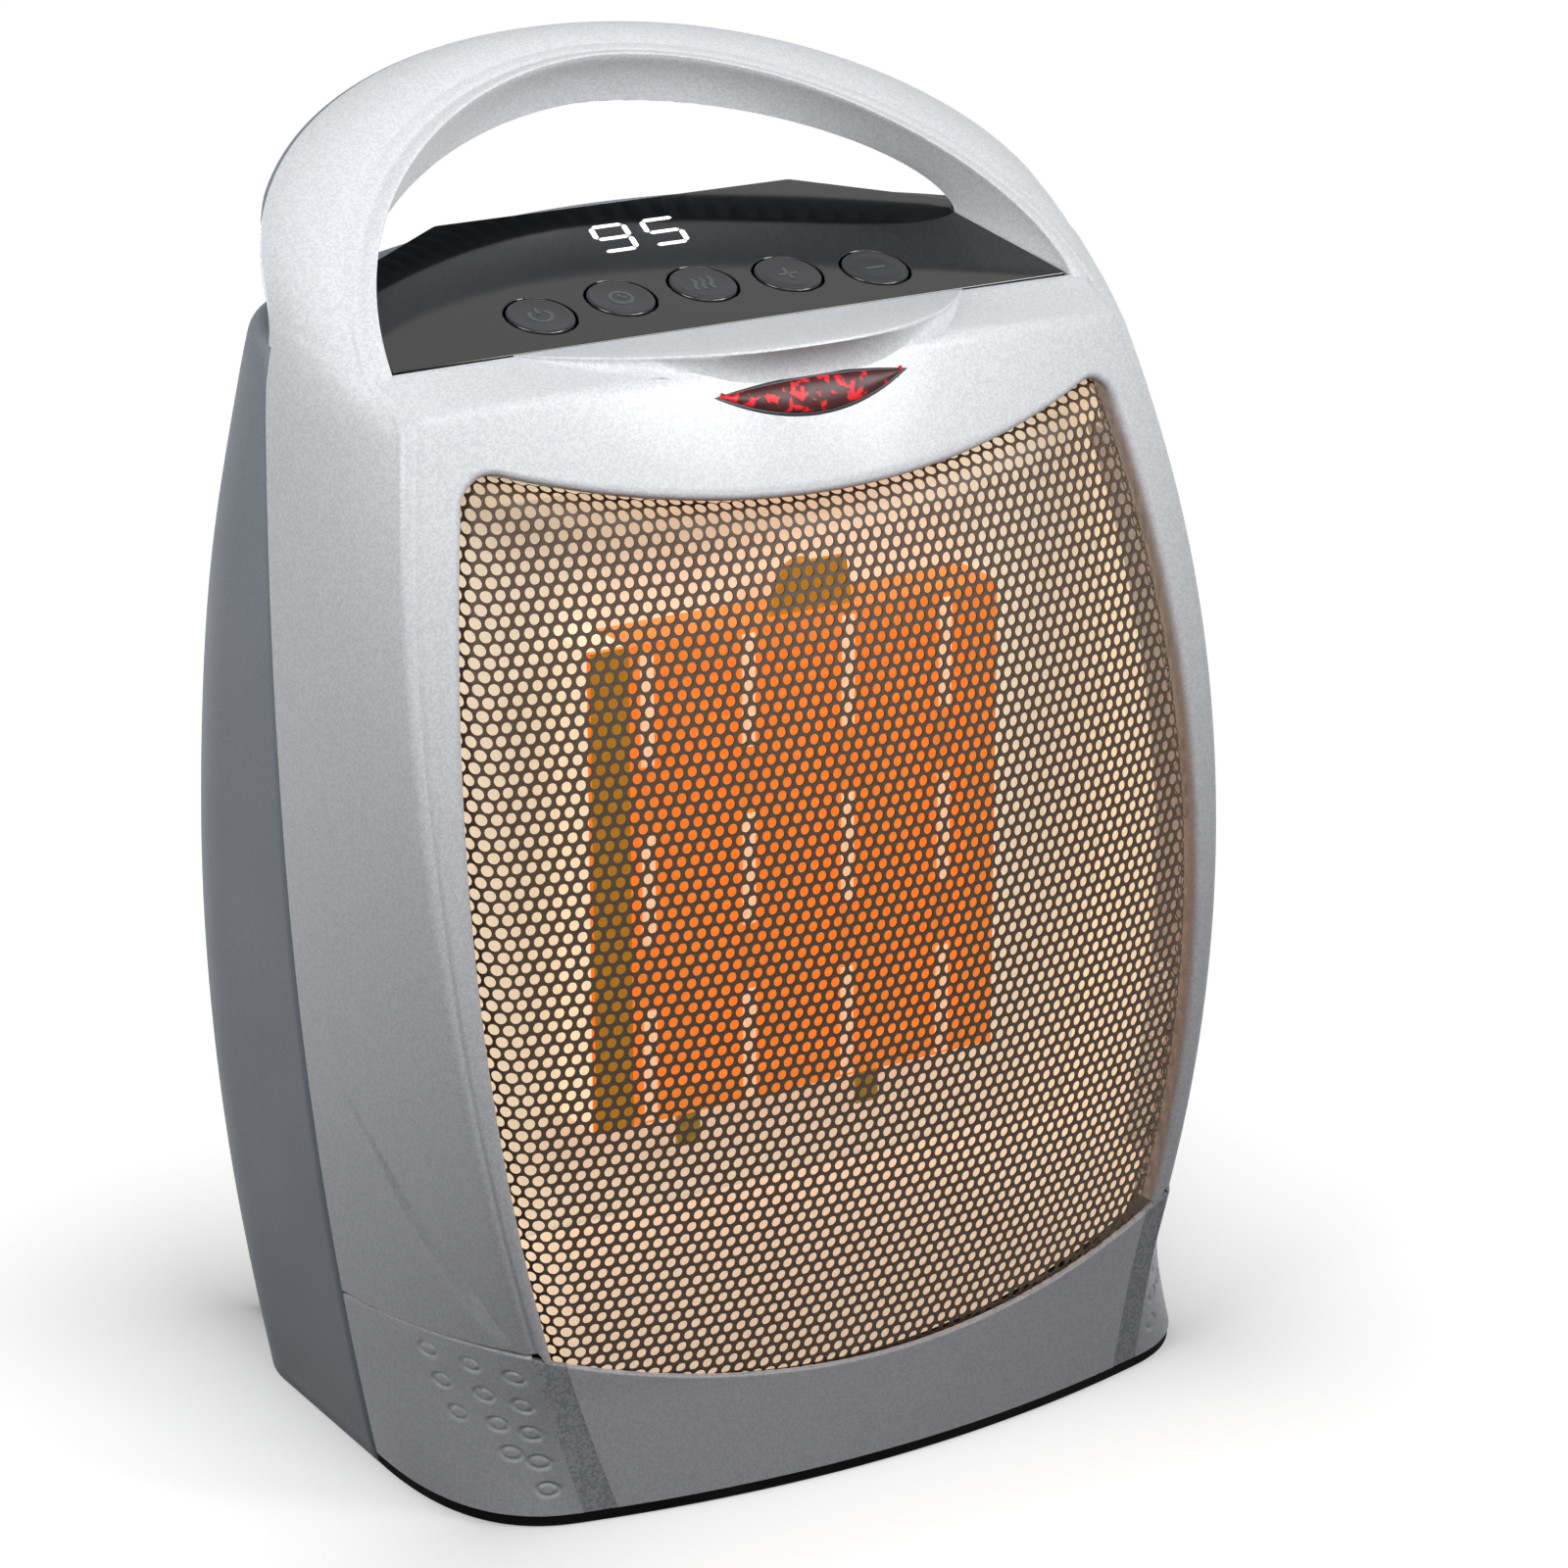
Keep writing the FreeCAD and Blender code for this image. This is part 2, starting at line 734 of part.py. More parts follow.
# Base plate, feet and safety plunger
plate_front = front_section(0.0, plate_inset, 0.0)
base_plate = Part.Face(plate_front).extrude(V(0, 0, plate_thick))
plate_slab = box(-far, far, -far, far, 0, plate_thick)
rear_foot = rear_solid(plate_inset, -plate_inset, inner_facets).common(plate_slab)
base_plate = base_plate.fuse(rear_foot).removeSplitter()
base_plate.translate(V(0, 0, plate_bottom))
foot_spots = [(x, y) for x in (-foot_x, foot_x) for y in (foot_front_y, foot_rear_y)]
collar_z = plunger_top - collar_thick
guide_height = collar_z - plunger_travel - fit_gap - plate_bottom
guide_radius = plunger_radius + guide_wall
guide = facet_rod(round_sides, guide_radius, V(0, plunger_y, plate_bottom), AXIS_Z, guide_height)
base_plate = base_plate.fuse(guide)
post_spots = [(x, power_board_y + y) for x in (-post_x, post_x) for y in (-post_y, post_y)]
post_height = power_board_z - plate_bottom - seat_gap
posts = []
for x, y in post_spots:
    posts.append(facet_rod(post_sides, post_radius, V(x, y, plate_bottom), AXIS_Z, post_height))
switch_z = plunger_top + switch_lift
leg_y = plunger_y + switch_setback
switch_half = switch_size[0] / 2.0
switch_leg = box(-switch_half, switch_half, leg_y, leg_y + leg_thick, plate_bottom, switch_z + switch_size[2])
base_plate = base_plate.fuse(posts + [switch_leg]).removeSplitter()
for x, y in foot_spots:
    foot_room = facet_rod(small_sides, foot_radius + seat_gap, V(x, y, 0), AXIS_Z, foot_height + foot_sunk)
    base_plate = base_plate.cut(foot_room)
base_plate = base_plate.cut(facet_rod(round_sides, plunger_radius + fit_gap, V(0, plunger_y, 0), AXIS_Z, far))
foot_length = foot_height + foot_sunk - seat_gap
feet = [facet_rod(small_sides, foot_radius, V(x, y, 0), AXIS_Z, foot_length) for x, y in foot_spots]
rubber_feet = Part.makeCompound(feet)

pin_length = plunger_top - plunger_rest
plunger_pin = facet_rod(round_sides, plunger_radius, V(0, plunger_y, plunger_rest), AXIS_Z, pin_length)
collar_radius = plunger_radius + collar_extra
plunger_collar = facet_rod(round_sides, collar_radius, V(0, plunger_y, collar_z), AXIS_Z, collar_thick)
tip_plunger = plunger_pin.fuse(plunger_collar).removeSplitter()
switch_rear_y = leg_y - seat_gap
tip_switch = box(-switch_half, switch_half, switch_rear_y - switch_size[1], switch_rear_y,
                 switch_z, switch_z + switch_size[2])
tip_switch = tip_switch.makeChamfer(switch_chamfer, [tip_switch.Edges[0], tip_switch.Edges[4]])

power_board = box(-power_board_size[0] / 2.0, power_board_size[0] / 2.0,
                  power_board_y - power_board_size[1] / 2.0, power_board_y + power_board_size[1] / 2.0,
                  power_board_z, power_board_z + power_board_size[2])
relay_z = power_board_z + power_board_size[2] + seat_gap
relay_list = []
for x in relay_x:
    cube = box(x, x + relay_size[0], power_board_y - relay_size[1] / 2.0, power_board_y + relay_size[1] / 2.0,
               relay_z, relay_z + relay_size[2])
    rims = [cube.Edges[k] for k in (1, 5, 9, 11)]
    relay_list.append(cube.makeChamfer(relay_chamfer, rims))
relays = Part.makeCompound(relay_list)

# Control panel, display and buttons, built flat and then tilted
panel_flat = prism(panel_outline(0.0), V(0, 0, -panel_thick))


def window_plate(grow, thick):
    """Rectangular display window with cut corners, let in flush with the panel's face."""
    wide, front, rear = window_half + grow, window_front - grow, window_rear + grow
    right = [V(wide - window_corner, front, 0), V(wide, front + window_corner, 0),
             V(wide, rear - window_corner, 0), V(wide - window_corner, rear, 0)]
    left = [V(-p.x, p.y, 0) for p in reversed(right)]
    return prism(right + left, V(0, 0, -thick))


display_y = (window_front + window_rear) / 2.0
panel_flat = panel_flat.cut(window_plate(fit_gap, window_thick + seat_gap))
pocket_half = display_width / 2.0 + fit_gap
pocket_reach = display_depth / 2.0 + fit_gap
display_pocket = box(-pocket_half, pocket_half, display_y - pocket_reach, display_y + pocket_reach,
                     -panel_cut, 0)
panel_flat = panel_flat.cut(display_pocket)
board_z = -panel_thick - board_gap
posts = []
for x, y in board_posts:
    posts.append(facet_rod(post_sides, board_post_radius, V(x, y, board_z + seat_gap), AXIS_Z, board_gap))
panel_flat = panel_flat.fuse(posts)
window_flat = window_plate(0.0, window_thick)
display_flat = box(-display_width / 2.0, display_width / 2.0, display_y - display_depth / 2.0,
                   display_y + display_depth / 2.0, board_z + seat_gap, -window_thick - 2 * seat_gap)
board_flat = box(-board_half, board_half, board_front, board_rear, board_z - board_thick, board_z)
switch_solids = []
buttons = {}
for name, x, y in zip(button_names, button_x, button_depth):
    key_room = facet_rod(button_sides, button_radius + fit_gap, V(x, y, -panel_cut), AXIS_Z, 2.0 * panel_cut)
    panel_flat = panel_flat.cut(key_room)
    cap = facet_rod(button_sides, button_radius, V(x, y, -button_body), AXIS_Z, button_body + button_proud)
    reach = button_radius + tab_extra
    tabs = box(x - reach, x + reach, y - tab_width / 2.0, y + tab_width / 2.0, -button_body,
               -panel_thick - seat_gap)
    buttons[name] = panel_place(cap.fuse(tabs).removeSplitter())
    base = box(x - switch_side / 2.0, x + switch_side / 2.0, y - switch_side / 2.0, y + switch_side / 2.0,
               board_z + seat_gap, board_z + switch_height)
    stem_top = -button_body - button_travel - stem_gap
    stem = box(x - stem_half, x + stem_half, y - stem_half, y + stem_half, board_z + switch_height, stem_top)
    switch_solids.append(panel_place(base.fuse(stem).removeSplitter()))
control_panel = clear_of_handle(panel_place(panel_flat.removeSplitter()), panel_gap)
display_window = panel_place(window_flat)
display_module = panel_place(display_flat)
control_board = panel_place(board_flat)
button_switches = Part.makeCompound(switch_solids)

# Indicator lens and lamp
lens_front = front_solid(-lens_proud, 0.0)
lens_back = front_solid(wall + lens_flange, 1.0)
indicator_lens = lens_prism.common(lens_front).cut(lens_back)
indicator_lens = max(indicator_lens.Solids, key=lambda s: s.Volume)
lamp_z = lens_low_z + lamp_radius
lamp_y = front_y(0.0, lamp_z + lamp_radius) + wall + lens_flange + 2.0 * seat_gap
lamp_bulb = facet_rod(small_sides, lamp_radius, V(0, lamp_y, lamp_z), AXIS_Y, lamp_length)
lamp_end = V(0, lamp_y + lamp_length, lamp_z)
lamp_foot = facet_rod(post_sides, lamp_radius + lamp_rim, lamp_end, AXIS_Y, lamp_base)
indicator_lamp = lamp_bulb.fuse(lamp_foot).removeSplitter()

# Grille: a recessed bowed sheet of flat cells, each with one opening, and an upstanding rim
def grille_row(z, recess):
    """Corner points of one row; the same bow ratio at each height keeps the cells flat."""
    half = crease_half(z) - recess
    points = []
    for i in range(grille_columns + 1):
        share = 2.0 * i / grille_columns - 1.0
        points.append(V(half * share, crease_y(z) + recess - grille_bow * half * (1.0 - share * share), z))
    return points


def grille_solid(recess, back_y):
    rows = [grille_row(z, recess) for z in grille_levels]
    rings = [[V(r[0].x, back_y, r[0].z)] + r + [V(r[-1].x, back_y, r[0].z)] for r in rows]
    return flat_loft(rings)


row_step = (grille_high_z - grille_low_z) / grille_rows
grille_levels = [grille_low_z + row_step * i for i in range(grille_rows + 1)]
field_room = window_prism(fit_gap, -far, plate_y)
field_front = grille_solid(grille_recess, plate_y)
field_back = grille_solid(grille_recess + grille_sheet, plate_y)
rim_ring = field_room.cut(window_prism(fit_gap + grille_sheet, -far, plate_y))
rim_ring = rim_ring.common(plain_solid(rim_recess, 0.0))
grille = field_front.common(field_room).fuse(rim_ring).cut(field_back)
grille = max(grille.Solids, key=lambda s: s.Volume)
holes = []
for low, high in zip(grille_levels, grille_levels[1:]):
    below, over = grille_row(low, grille_recess), grille_row(high, grille_recess)
    z = (low + high) / 2.0
    for i in range(grille_columns):
        x = (below[i].x + below[i + 1].x + over[i].x + over[i + 1].x) / 4.0
        wide = (below[i + 1].x - below[i].x) / 2.0 - grille_web
        tall = row_step / 2.0 - grille_web
        top_rise = (window_top_corner_z - window_top_centre_z) * (x / window_top_corner_x) ** 2
        top = window_top_centre_z + top_rise
        bottom = seam_centre_z + (seam_crease_z - seam_centre_z) * (x / seam_crease_x) ** 2
        inside = bottom + tall + grille_web < z < top - tall - grille_web
        if inside and abs(x) + wide + grille_web < window_half_at(z):
            ring = [V(x - wide, -far, z), V(x, -far, z - tall), V(x + wide, -far, z), V(x, -far, z + tall)]
            holes.append(prism(ring, V(0, far + plate_y, 0)))
grille = grille.cut(Part.makeCompound(holes))

# Heating block: frame, fins, bars and terminals
block_back_y = block_front_y + block_depth
frame_outer = box(-block_half, block_half, block_front_y, block_back_y, block_low_z, block_high_z)
frame_hole = box(-block_half + frame_bar, block_half - frame_bar, block_front_y - 1, block_back_y + 1,
                 block_low_z + frame_cap, block_high_z - frame_cap)
ptc_frame = frame_outer.cut(frame_hole)
core_low = block_low_z + frame_cap + seat_gap
core_high = block_high_z - frame_cap - seat_gap
core_half = block_half - frame_bar - seat_gap
bars = []
for x in bar_x:
    bars.append(box(x - bar_width / 2.0, x + bar_width / 2.0,
                    block_front_y + bar_inset, block_back_y - bar_inset, core_low, core_high))
heating_bars = Part.makeCompound(bars)
fin_blocks = []
edges_x = [-core_half] + [x + s * (bar_width / 2.0 + seat_gap) for x in bar_x for s in (-1, 1)] + [core_half]
for a, b in zip(edges_x[0::2], edges_x[1::2]):
    spine_y = block_front_y + spine_depth
    spine = box(a, b, spine_y, spine_y + fin_thick, core_low, core_high)
    leaves = []
    count = int((core_high - core_low) / fin_pitch)
    for k in range(count + 1):
        z = core_low + k * (core_high - core_low - fin_thick) / count
        leaves.append(box(a, b, block_front_y + fin_inset, block_back_y - fin_inset, z, z + fin_thick))
    fin_blocks.append(spine.fuse(leaves).removeSplitter())
heating_fins = Part.makeCompound(fin_blocks)
terminals = []
terminal_y = block_front_y + terminal_depth
for x in (-terminal_x, terminal_x):
    terminals.append(box(x - terminal_size[0] / 2.0, x + terminal_size[0] / 2.0,
                         terminal_y, terminal_y + terminal_size[2],
                         block_low_z - terminal_size[1], block_low_z - seat_gap))
ptc_terminals = Part.makeCompound(terminals)

# Thermal cut-out on its bracket above the block
tab_y = block_front_y + tab_depth
tab_foot_z = block_high_z + seat_gap
tab_top_z = block_high_z + tab_height
bracket_face = [V(tab_x - tab_foot_half, tab_y, tab_foot_z), V(tab_x + tab_foot_half, tab_y, tab_foot_z),
                V(tab_x + tab_head[1], tab_y, tab_top_z), V(tab_x + tab_head[0], tab_y, tab_top_z)]
cutoff_bracket = prism(bracket_face, V(0, tab_thick, 0))
cutoff_y = tab_y + tab_thick + seat_gap
cutoff_z = block_high_z + cutoff_rise
cutoff_can = facet_rod(small_sides, cutoff_radius, V(tab_x, cutoff_y, cutoff_z), AXIS_Y, cutoff_length)
cap_start = V(tab_x, cutoff_y + cutoff_length, cutoff_z)
cutoff_cap = facet_rod(post_sides, cutoff_cap_radius, cap_start, AXIS_Y, cutoff_cap_length)
thermal_cutoff = cutoff_can.fuse(cutoff_cap).removeSplitter()

# Air duct: a front plate that fills the housing and a round throat behind it
duct_slab = box(-far, far, plate_y, plate_y + duct_plate, duct_low_z, duct_high_z)
duct_front = duct_slab.common(plain_solid(wall + fit_gap, 1.0))
duct_slot = box(-block_half - seat_gap, block_half + seat_gap, plate_y - 1, plate_y + duct_plate + 1,
                block_low_z - seat_gap, block_high_z + seat_gap)
throat_y = plate_y + duct_plate
throat_length = shroud_front_y - plate_y
throat = facet_rod(duct_sides, duct_radius + duct_wall, V(0, plate_y, fan_z), AXIS_Y, throat_length)
throat_room = facet_rod(duct_sides, duct_radius, V(0, throat_y, fan_z), AXIS_Y, far)
air_duct = duct_front.fuse(throat).cut([duct_slot, throat_room])
air_duct = max(air_duct.removeSplitter().Solids, key=lambda s: s.Volume)

# Fan
shroud_y = shroud_front_y + seat_gap
shroud_half = duct_radius + shroud_flange
shroud_corner = shroud_half / math.cos(math.pi / shroud_sides)
shroud_length = shroud_rear_y - shroud_y
shroud_room = facet_rod(duct_sides, duct_radius - shroud_lip, V(0, shroud_y, fan_z), AXIS_Y, shroud_length)
fan_shroud = facet_rod(shroud_sides, shroud_corner, V(0, shroud_y, fan_z), AXIS_Y, shroud_length)
fan_shroud = fan_shroud.cut(shroud_room)
bracket_y = shroud_rear_y + seat_gap
motor_bracket = box(-duct_radius - shroud_lip, duct_radius + shroud_lip, bracket_y, bracket_y + bracket_thick,
                    fan_z - bracket_width / 2.0, fan_z + bracket_width / 2.0)
bearing_room = facet_rod(small_sides, bearing_radius + bearing_clear, V(0, 0, fan_z), AXIS_Y, far)
motor_bracket = motor_bracket.cut(bearing_room)
motor_y = bracket_y + bracket_thick + seat_gap
motor_can = facet_rod(round_sides, motor_radius, V(0, motor_y, fan_z), AXIS_Y, motor_length)
front_seat = motor_y - bearing_inset
boss_length = bearing_inset + bearing_wall
boss = facet_rod(small_sides, bearing_radius + bearing_wall, V(0, front_seat, fan_z), AXIS_Y, boss_length)
motor_can = motor_can.fuse(boss)
motor_can = motor_can.cut(facet_rod(small_sides, shaft_radius + shaft_clear, V(0, 0, fan_z), AXIS_Y, far))
bearing_spots = (front_seat, motor_y + motor_length - bearing_length)
for start in (front_seat - seat_gap, bearing_spots[1] - seat_gap):
    pocket_length = bearing_length + 2.0 * seat_gap
    pocket = facet_rod(small_sides, bearing_radius + seat_gap, V(0, start, fan_z), AXIS_Y, pocket_length)
    motor_can = motor_can.cut(pocket)
bushes = []
for y in bearing_spots:
    bush = facet_rod(small_sides, bearing_radius, V(0, y, fan_z), AXIS_Y, bearing_length)
    bushes.append(bush.cut(rod(shaft_radius + running_gap, V(0, y, fan_z), AXIS_Y, bearing_length)))
motor_bearings = Part.makeCompound(bushes)
shaft_front_y = hub_front_y - shaft_nose
fan_shaft = rod(shaft_radius, V(0, shaft_front_y, fan_z), AXIS_Y, motor_y + motor_length - shaft_front_y)
hub = facet_rod(round_sides, hub_radius, V(0, hub_front_y, fan_z), AXIS_Y, hub_rear_y - hub_front_y)
blades = []
for k in range(blade_count):
    sections = []
    for r, turn, chord in blade_sections:
        t = math.radians(turn)
        along = V(math.cos(t), math.sin(t), 0) * (chord / 2.0)
        across = V(-math.sin(t), math.cos(t), 0) * (blade_thick / 2.0)
        centre = V(0, blade_y, fan_z + r)
        sections.append([centre + along + across, centre - along + across,
                         centre - along - across, centre + along - across])
    blade = facet_loft(sections)
    blade.rotate(V(0, 0, fan_z), AXIS_Y, 360.0 * k / blade_count)
    blades.append(blade)
fan_impeller = hub.fuse(blades).removeSplitter()
shaft_room = facet_rod(small_sides, shaft_radius + 2.0 * seat_gap, V(0, -far, fan_z), AXIS_Y, 2.0 * far)
fan_impeller = fan_impeller.cut(shaft_room)
clip_y = hub_front_y - 2.0 * seat_gap - clip_thick
impeller_clip = facet_rod(clip_sides, clip_radius, V(0, clip_y, fan_z), AXIS_Y, clip_thick).cut(shaft_room)

nodes = {
    "front_shell": front_shell,
    "handle_grip": handle_grip,
    "rear_shell": rear_shell,
    "base_cover": base_cover,
    "base_plate": base_plate,
    "rubber_feet": rubber_feet,
    "housing_screws": housing_screws,
    "cord_inlet": cord_inlet,
    "control_panel": control_panel,
    "display_window": display_window,
    "display_module": display_module,
    "control_board": control_board,
    "button_switches": button_switches,
    "indicator_lens": indicator_lens,
    "indicator_lamp": indicator_lamp,
    "grille": grille,
    "ptc_frame": ptc_frame,
    "heating_bars": heating_bars,
    "heating_fins": heating_fins,
    "ptc_terminals": ptc_terminals,
    "cutoff_bracket": cutoff_bracket,
    "thermal_cutoff": thermal_cutoff,
    "air_duct": air_duct,
    "fan_shroud": fan_shroud,
    "motor_bracket": motor_bracket,
    "fan_motor": motor_can,
    "motor_bearings": motor_bearings,
    "fan_shaft": fan_shaft,
    "fan_impeller": fan_impeller,
    "impeller_clip": impeller_clip,
    "power_board": power_board,
    "relays": relays,
    "tip_plunger": tip_plunger,
    "tip_switch": tip_switch,
}
for name in button_names:
    nodes[name + "_button"] = buttons[name]

os.makedirs("parts", exist_ok=True)
for name, shape in nodes.items():
    shape.exportStep(os.path.join("parts", name + ".step"))
    print(name, len(shape.Solids), shape.isValid())
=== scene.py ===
"""Looks of a portable ceramic heater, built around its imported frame.

The silver front shell, blue-grey rear shell, punched grille, control panel and heating block
are surfaces worked out in millimetres as whole arrays, and put into meshes in metres.
"""

from __future__ import annotations

import json
import logging
import math
from dataclasses import dataclass, field
from enum import Enum

import bmesh
import bpy
import numpy as np
from mathutils import Matrix

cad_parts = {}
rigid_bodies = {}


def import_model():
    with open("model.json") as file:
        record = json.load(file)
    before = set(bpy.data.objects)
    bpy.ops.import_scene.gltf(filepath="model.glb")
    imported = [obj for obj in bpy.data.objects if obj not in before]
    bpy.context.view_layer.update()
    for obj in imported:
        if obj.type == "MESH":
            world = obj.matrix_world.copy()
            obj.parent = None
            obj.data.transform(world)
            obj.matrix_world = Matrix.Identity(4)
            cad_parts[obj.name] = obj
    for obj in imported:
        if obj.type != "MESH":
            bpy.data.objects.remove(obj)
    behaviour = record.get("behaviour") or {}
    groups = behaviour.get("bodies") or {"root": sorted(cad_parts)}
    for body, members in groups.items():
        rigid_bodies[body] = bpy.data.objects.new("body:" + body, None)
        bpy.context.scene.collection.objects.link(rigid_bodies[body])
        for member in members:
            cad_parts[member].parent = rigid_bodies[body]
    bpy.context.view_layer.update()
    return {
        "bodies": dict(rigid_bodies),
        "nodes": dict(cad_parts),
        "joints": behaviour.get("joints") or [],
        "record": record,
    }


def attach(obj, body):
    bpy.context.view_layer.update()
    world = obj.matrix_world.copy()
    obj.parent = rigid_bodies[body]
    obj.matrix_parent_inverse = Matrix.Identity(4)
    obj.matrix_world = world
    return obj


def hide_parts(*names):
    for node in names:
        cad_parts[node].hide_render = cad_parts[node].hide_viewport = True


MM = 0.001
Array = np.ndarray
log = logging.getLogger("heater")


class Body(Enum):
    """Bodies of the frame that pieces ride on."""

    HOUSING = "housing"
    POWER = "power_button"
    TIMER = "timer_button"
    MODE = "mode_button"
    PLUS = "plus_button"
    MINUS = "minus_button"


def linear(code: str) -> tuple[float, float, float, float]:
    """Turn an sRGB hex code into a linear colour.

    Args:
        code: six hex digits.

    Returns:
        Red, green, blue and alpha for a shader socket.
    """
    srgb = np.array([int(code[i:i + 2], 16) for i in (0, 2, 4)]) / 255.0
    low, high = srgb / 12.92, ((srgb + 0.055) / 1.055) ** 2.4
    red, green, blue = np.where(srgb <= 0.04045, low, high)
    return float(red), float(green), float(blue), 1.0


def add_node(tree: bpy.types.NodeTree, kind: str, inputs: dict | None = None, **settings) -> bpy.types.Node:
    """Add a node, set its options, and fill or link its inputs.

    Args:
        tree: the node tree.
        kind: the node's type name.
        inputs: socket name or number to a value, or to the output that feeds it.
        settings: attributes of the node.

    Returns:
        The new node.
    """
    made = tree.nodes.new(kind)
    for name, value in settings.items():
        setattr(made, name, value)
    for key, value in (inputs or {}).items():
        if isinstance(value, bpy.types.NodeSocket):
            tree.links.new(value, made.inputs[key])
        else:
            made.inputs[key].default_value = value
    return made


@dataclass(frozen=True)
class Finish:
    """A moulded, painted or rolled surface: two tones mixed by its grain, with matching gloss and relief.

    The grain is noise at grain_mm, drawn no finer than the render can show; mottle_mm is the slow
    unevenness of thickness or wear over it.
    """

    name: str
    tone: str
    grain_tone: str
    grain_mm: float
    mottle_mm: float = 40.0
    roughness: tuple[float, float] = (0.4, 0.5)
    relief_mm: float = 0.02
    metallic: float = 0.0
    coat: float = 0.0
    ior: float = 1.5
    glow: str = ""
    glow_strength: float = 0.0

    def material(self) -> bpy.types.Material:
        """Build the material once.

        Returns:
            The material, new or already known by its name.
        """
        known = bpy.data.materials.get(self.name)
        if known:
            return known
        made = bpy.data.materials.new(self.name)
        made.use_nodes = True
        tree = made.node_tree
        tree.nodes.clear()
        place = add_node(tree, "ShaderNodeTexCoord").outputs["Object"]
        self.shade(tree, place)
        return made

    def shade(self, tree: bpy.types.NodeTree, place: bpy.types.NodeSocket) -> None:
        """Grain noise mixes the tones and lifts the relief; mottle noise shifts the gloss.

        Args:
            tree: the node tree.
            place: Object coordinates.
        """
        grain = add_node(tree, "ShaderNodeTexNoise",
                         {"Vector": place, "Scale": 1.0 / (self.grain_mm * MM), "Detail": 2.0})
        mottle = add_node(tree, "ShaderNodeTexNoise",
                          {"Vector": place, "Scale": 1.0 / (self.mottle_mm * MM), "Detail": 3.0})
        self.surface(tree, grain.outputs["Fac"], mottle.outputs["Fac"])

    def surface(self, tree: bpy.types.NodeTree, grain: bpy.types.NodeSocket,
                mottle: bpy.types.NodeSocket) -> bpy.types.Node:
        """Feed the shader from the grain and the mottle.

        Args:
            tree: the node tree.
            grain: pattern of the colour and the relief.
            mottle: pattern of the gloss.

        Returns:
            The surface shader.
        """
        share = add_node(tree, "ShaderNodeMapRange",
                         {"Value": grain, "From Min": 0.3, "From Max": 0.7})
        tones = add_node(tree, "ShaderNodeMix",
                         {"Factor": share.outputs[0], 6: linear(self.tone), 7: linear(self.grain_tone)},
                         data_type="RGBA")
        gloss = add_node(tree, "ShaderNodeMapRange", {
            "Value": mottle, "From Min": 0.3, "From Max": 0.7,
            "To Min": self.roughness[0], "To Max": self.roughness[1],
        })
        relief = add_node(tree, "ShaderNodeBump",
                          {"Height": grain, "Strength": 1.0, "Distance": self.relief_mm * MM})
        shader = add_node(tree, "ShaderNodeBsdfPrincipled", {
            "Base Color": tones.outputs[2], "Roughness": gloss.outputs[0], "Normal": relief.outputs[0],
            "Metallic": self.metallic, "IOR": self.ior, "Coat Weight": self.coat, "Coat Roughness": 0.15,
        })
        if self.glow:
            shader.inputs["Emission Color"].default_value = linear(self.glow)
            shader.inputs["Emission Strength"].default_value = self.glow_strength
        add_node(tree, "ShaderNodeOutputMaterial", {"Surface": shader.outputs[0]})
        return shader


@dataclass(frozen=True)
class FlakePaint(Finish):
    """Metallic paint: fine cells of flake, each a little lighter or darker, under a thin clear film."""

    def shade(self, tree: bpy.types.NodeTree, place: bpy.types.NodeSocket) -> None:
        """Voronoi cells stand for the flakes and noise for the unevenness of the film.

        Args:
            tree: the node tree.
            place: Object coordinates.
        """
        flake = add_node(tree, "ShaderNodeTexVoronoi", {"Vector": place, "Scale": 1.0 / (self.grain_mm * MM)})
        tint = add_node(tree, "ShaderNodeSeparateColor", {"Color": flake.outputs["Color"]})
        mottle = add_node(tree, "ShaderNodeTexNoise",
                          {"Vector": place, "Scale": 1.0 / (self.mottle_mm * MM), "Detail": 3.0})
        self.surface(tree, tint.outputs[0], mottle.outputs["Fac"])


@dataclass(frozen=True)
class FacetPlastic(Finish):
    """Clear tinted plastic with moulded facets behind it: dark cells with bright broken edges, painted
    glints.
    """

    def shade(self, tree: bpy.types.NodeTree, place: bpy.types.NodeSocket) -> None:
        """Distance to the cell borders gives the bright lines, painted glints; noise breaks them up.

        Args:
            tree: the node tree.
            place: Object coordinates.
        """
        warp = add_node(tree, "ShaderNodeTexNoise",
                        {"Vector": place, "Scale": 1.0 / (self.mottle_mm * MM), "Detail": 2.0})
        cells = add_node(tree, "ShaderNodeTexVoronoi",
                         {"Vector": place, "Scale": 1.0 / (self.grain_mm * MM)}, feature="DISTANCE_TO_EDGE")
        lines = add_node(tree, "ShaderNodeMapRange", {
            "Value": cells.outputs["Distance"], "From Min": 0.0, "From Max": 0.3,
            "To Min": 1.0, "To Max": 0.0,
        })
        broken = add_node(tree, "ShaderNodeMapRange",
                          {"Value": warp.outputs["Fac"], "From Min": 0.47, "From Max": 0.58})
        bright = add_node(tree, "ShaderNodeMath", {0: lines.outputs[0], 1: broken.outputs[0]},
                          operation="MULTIPLY")
        self.surface(tree, bright.outputs[0], warp.outputs["Fac"])


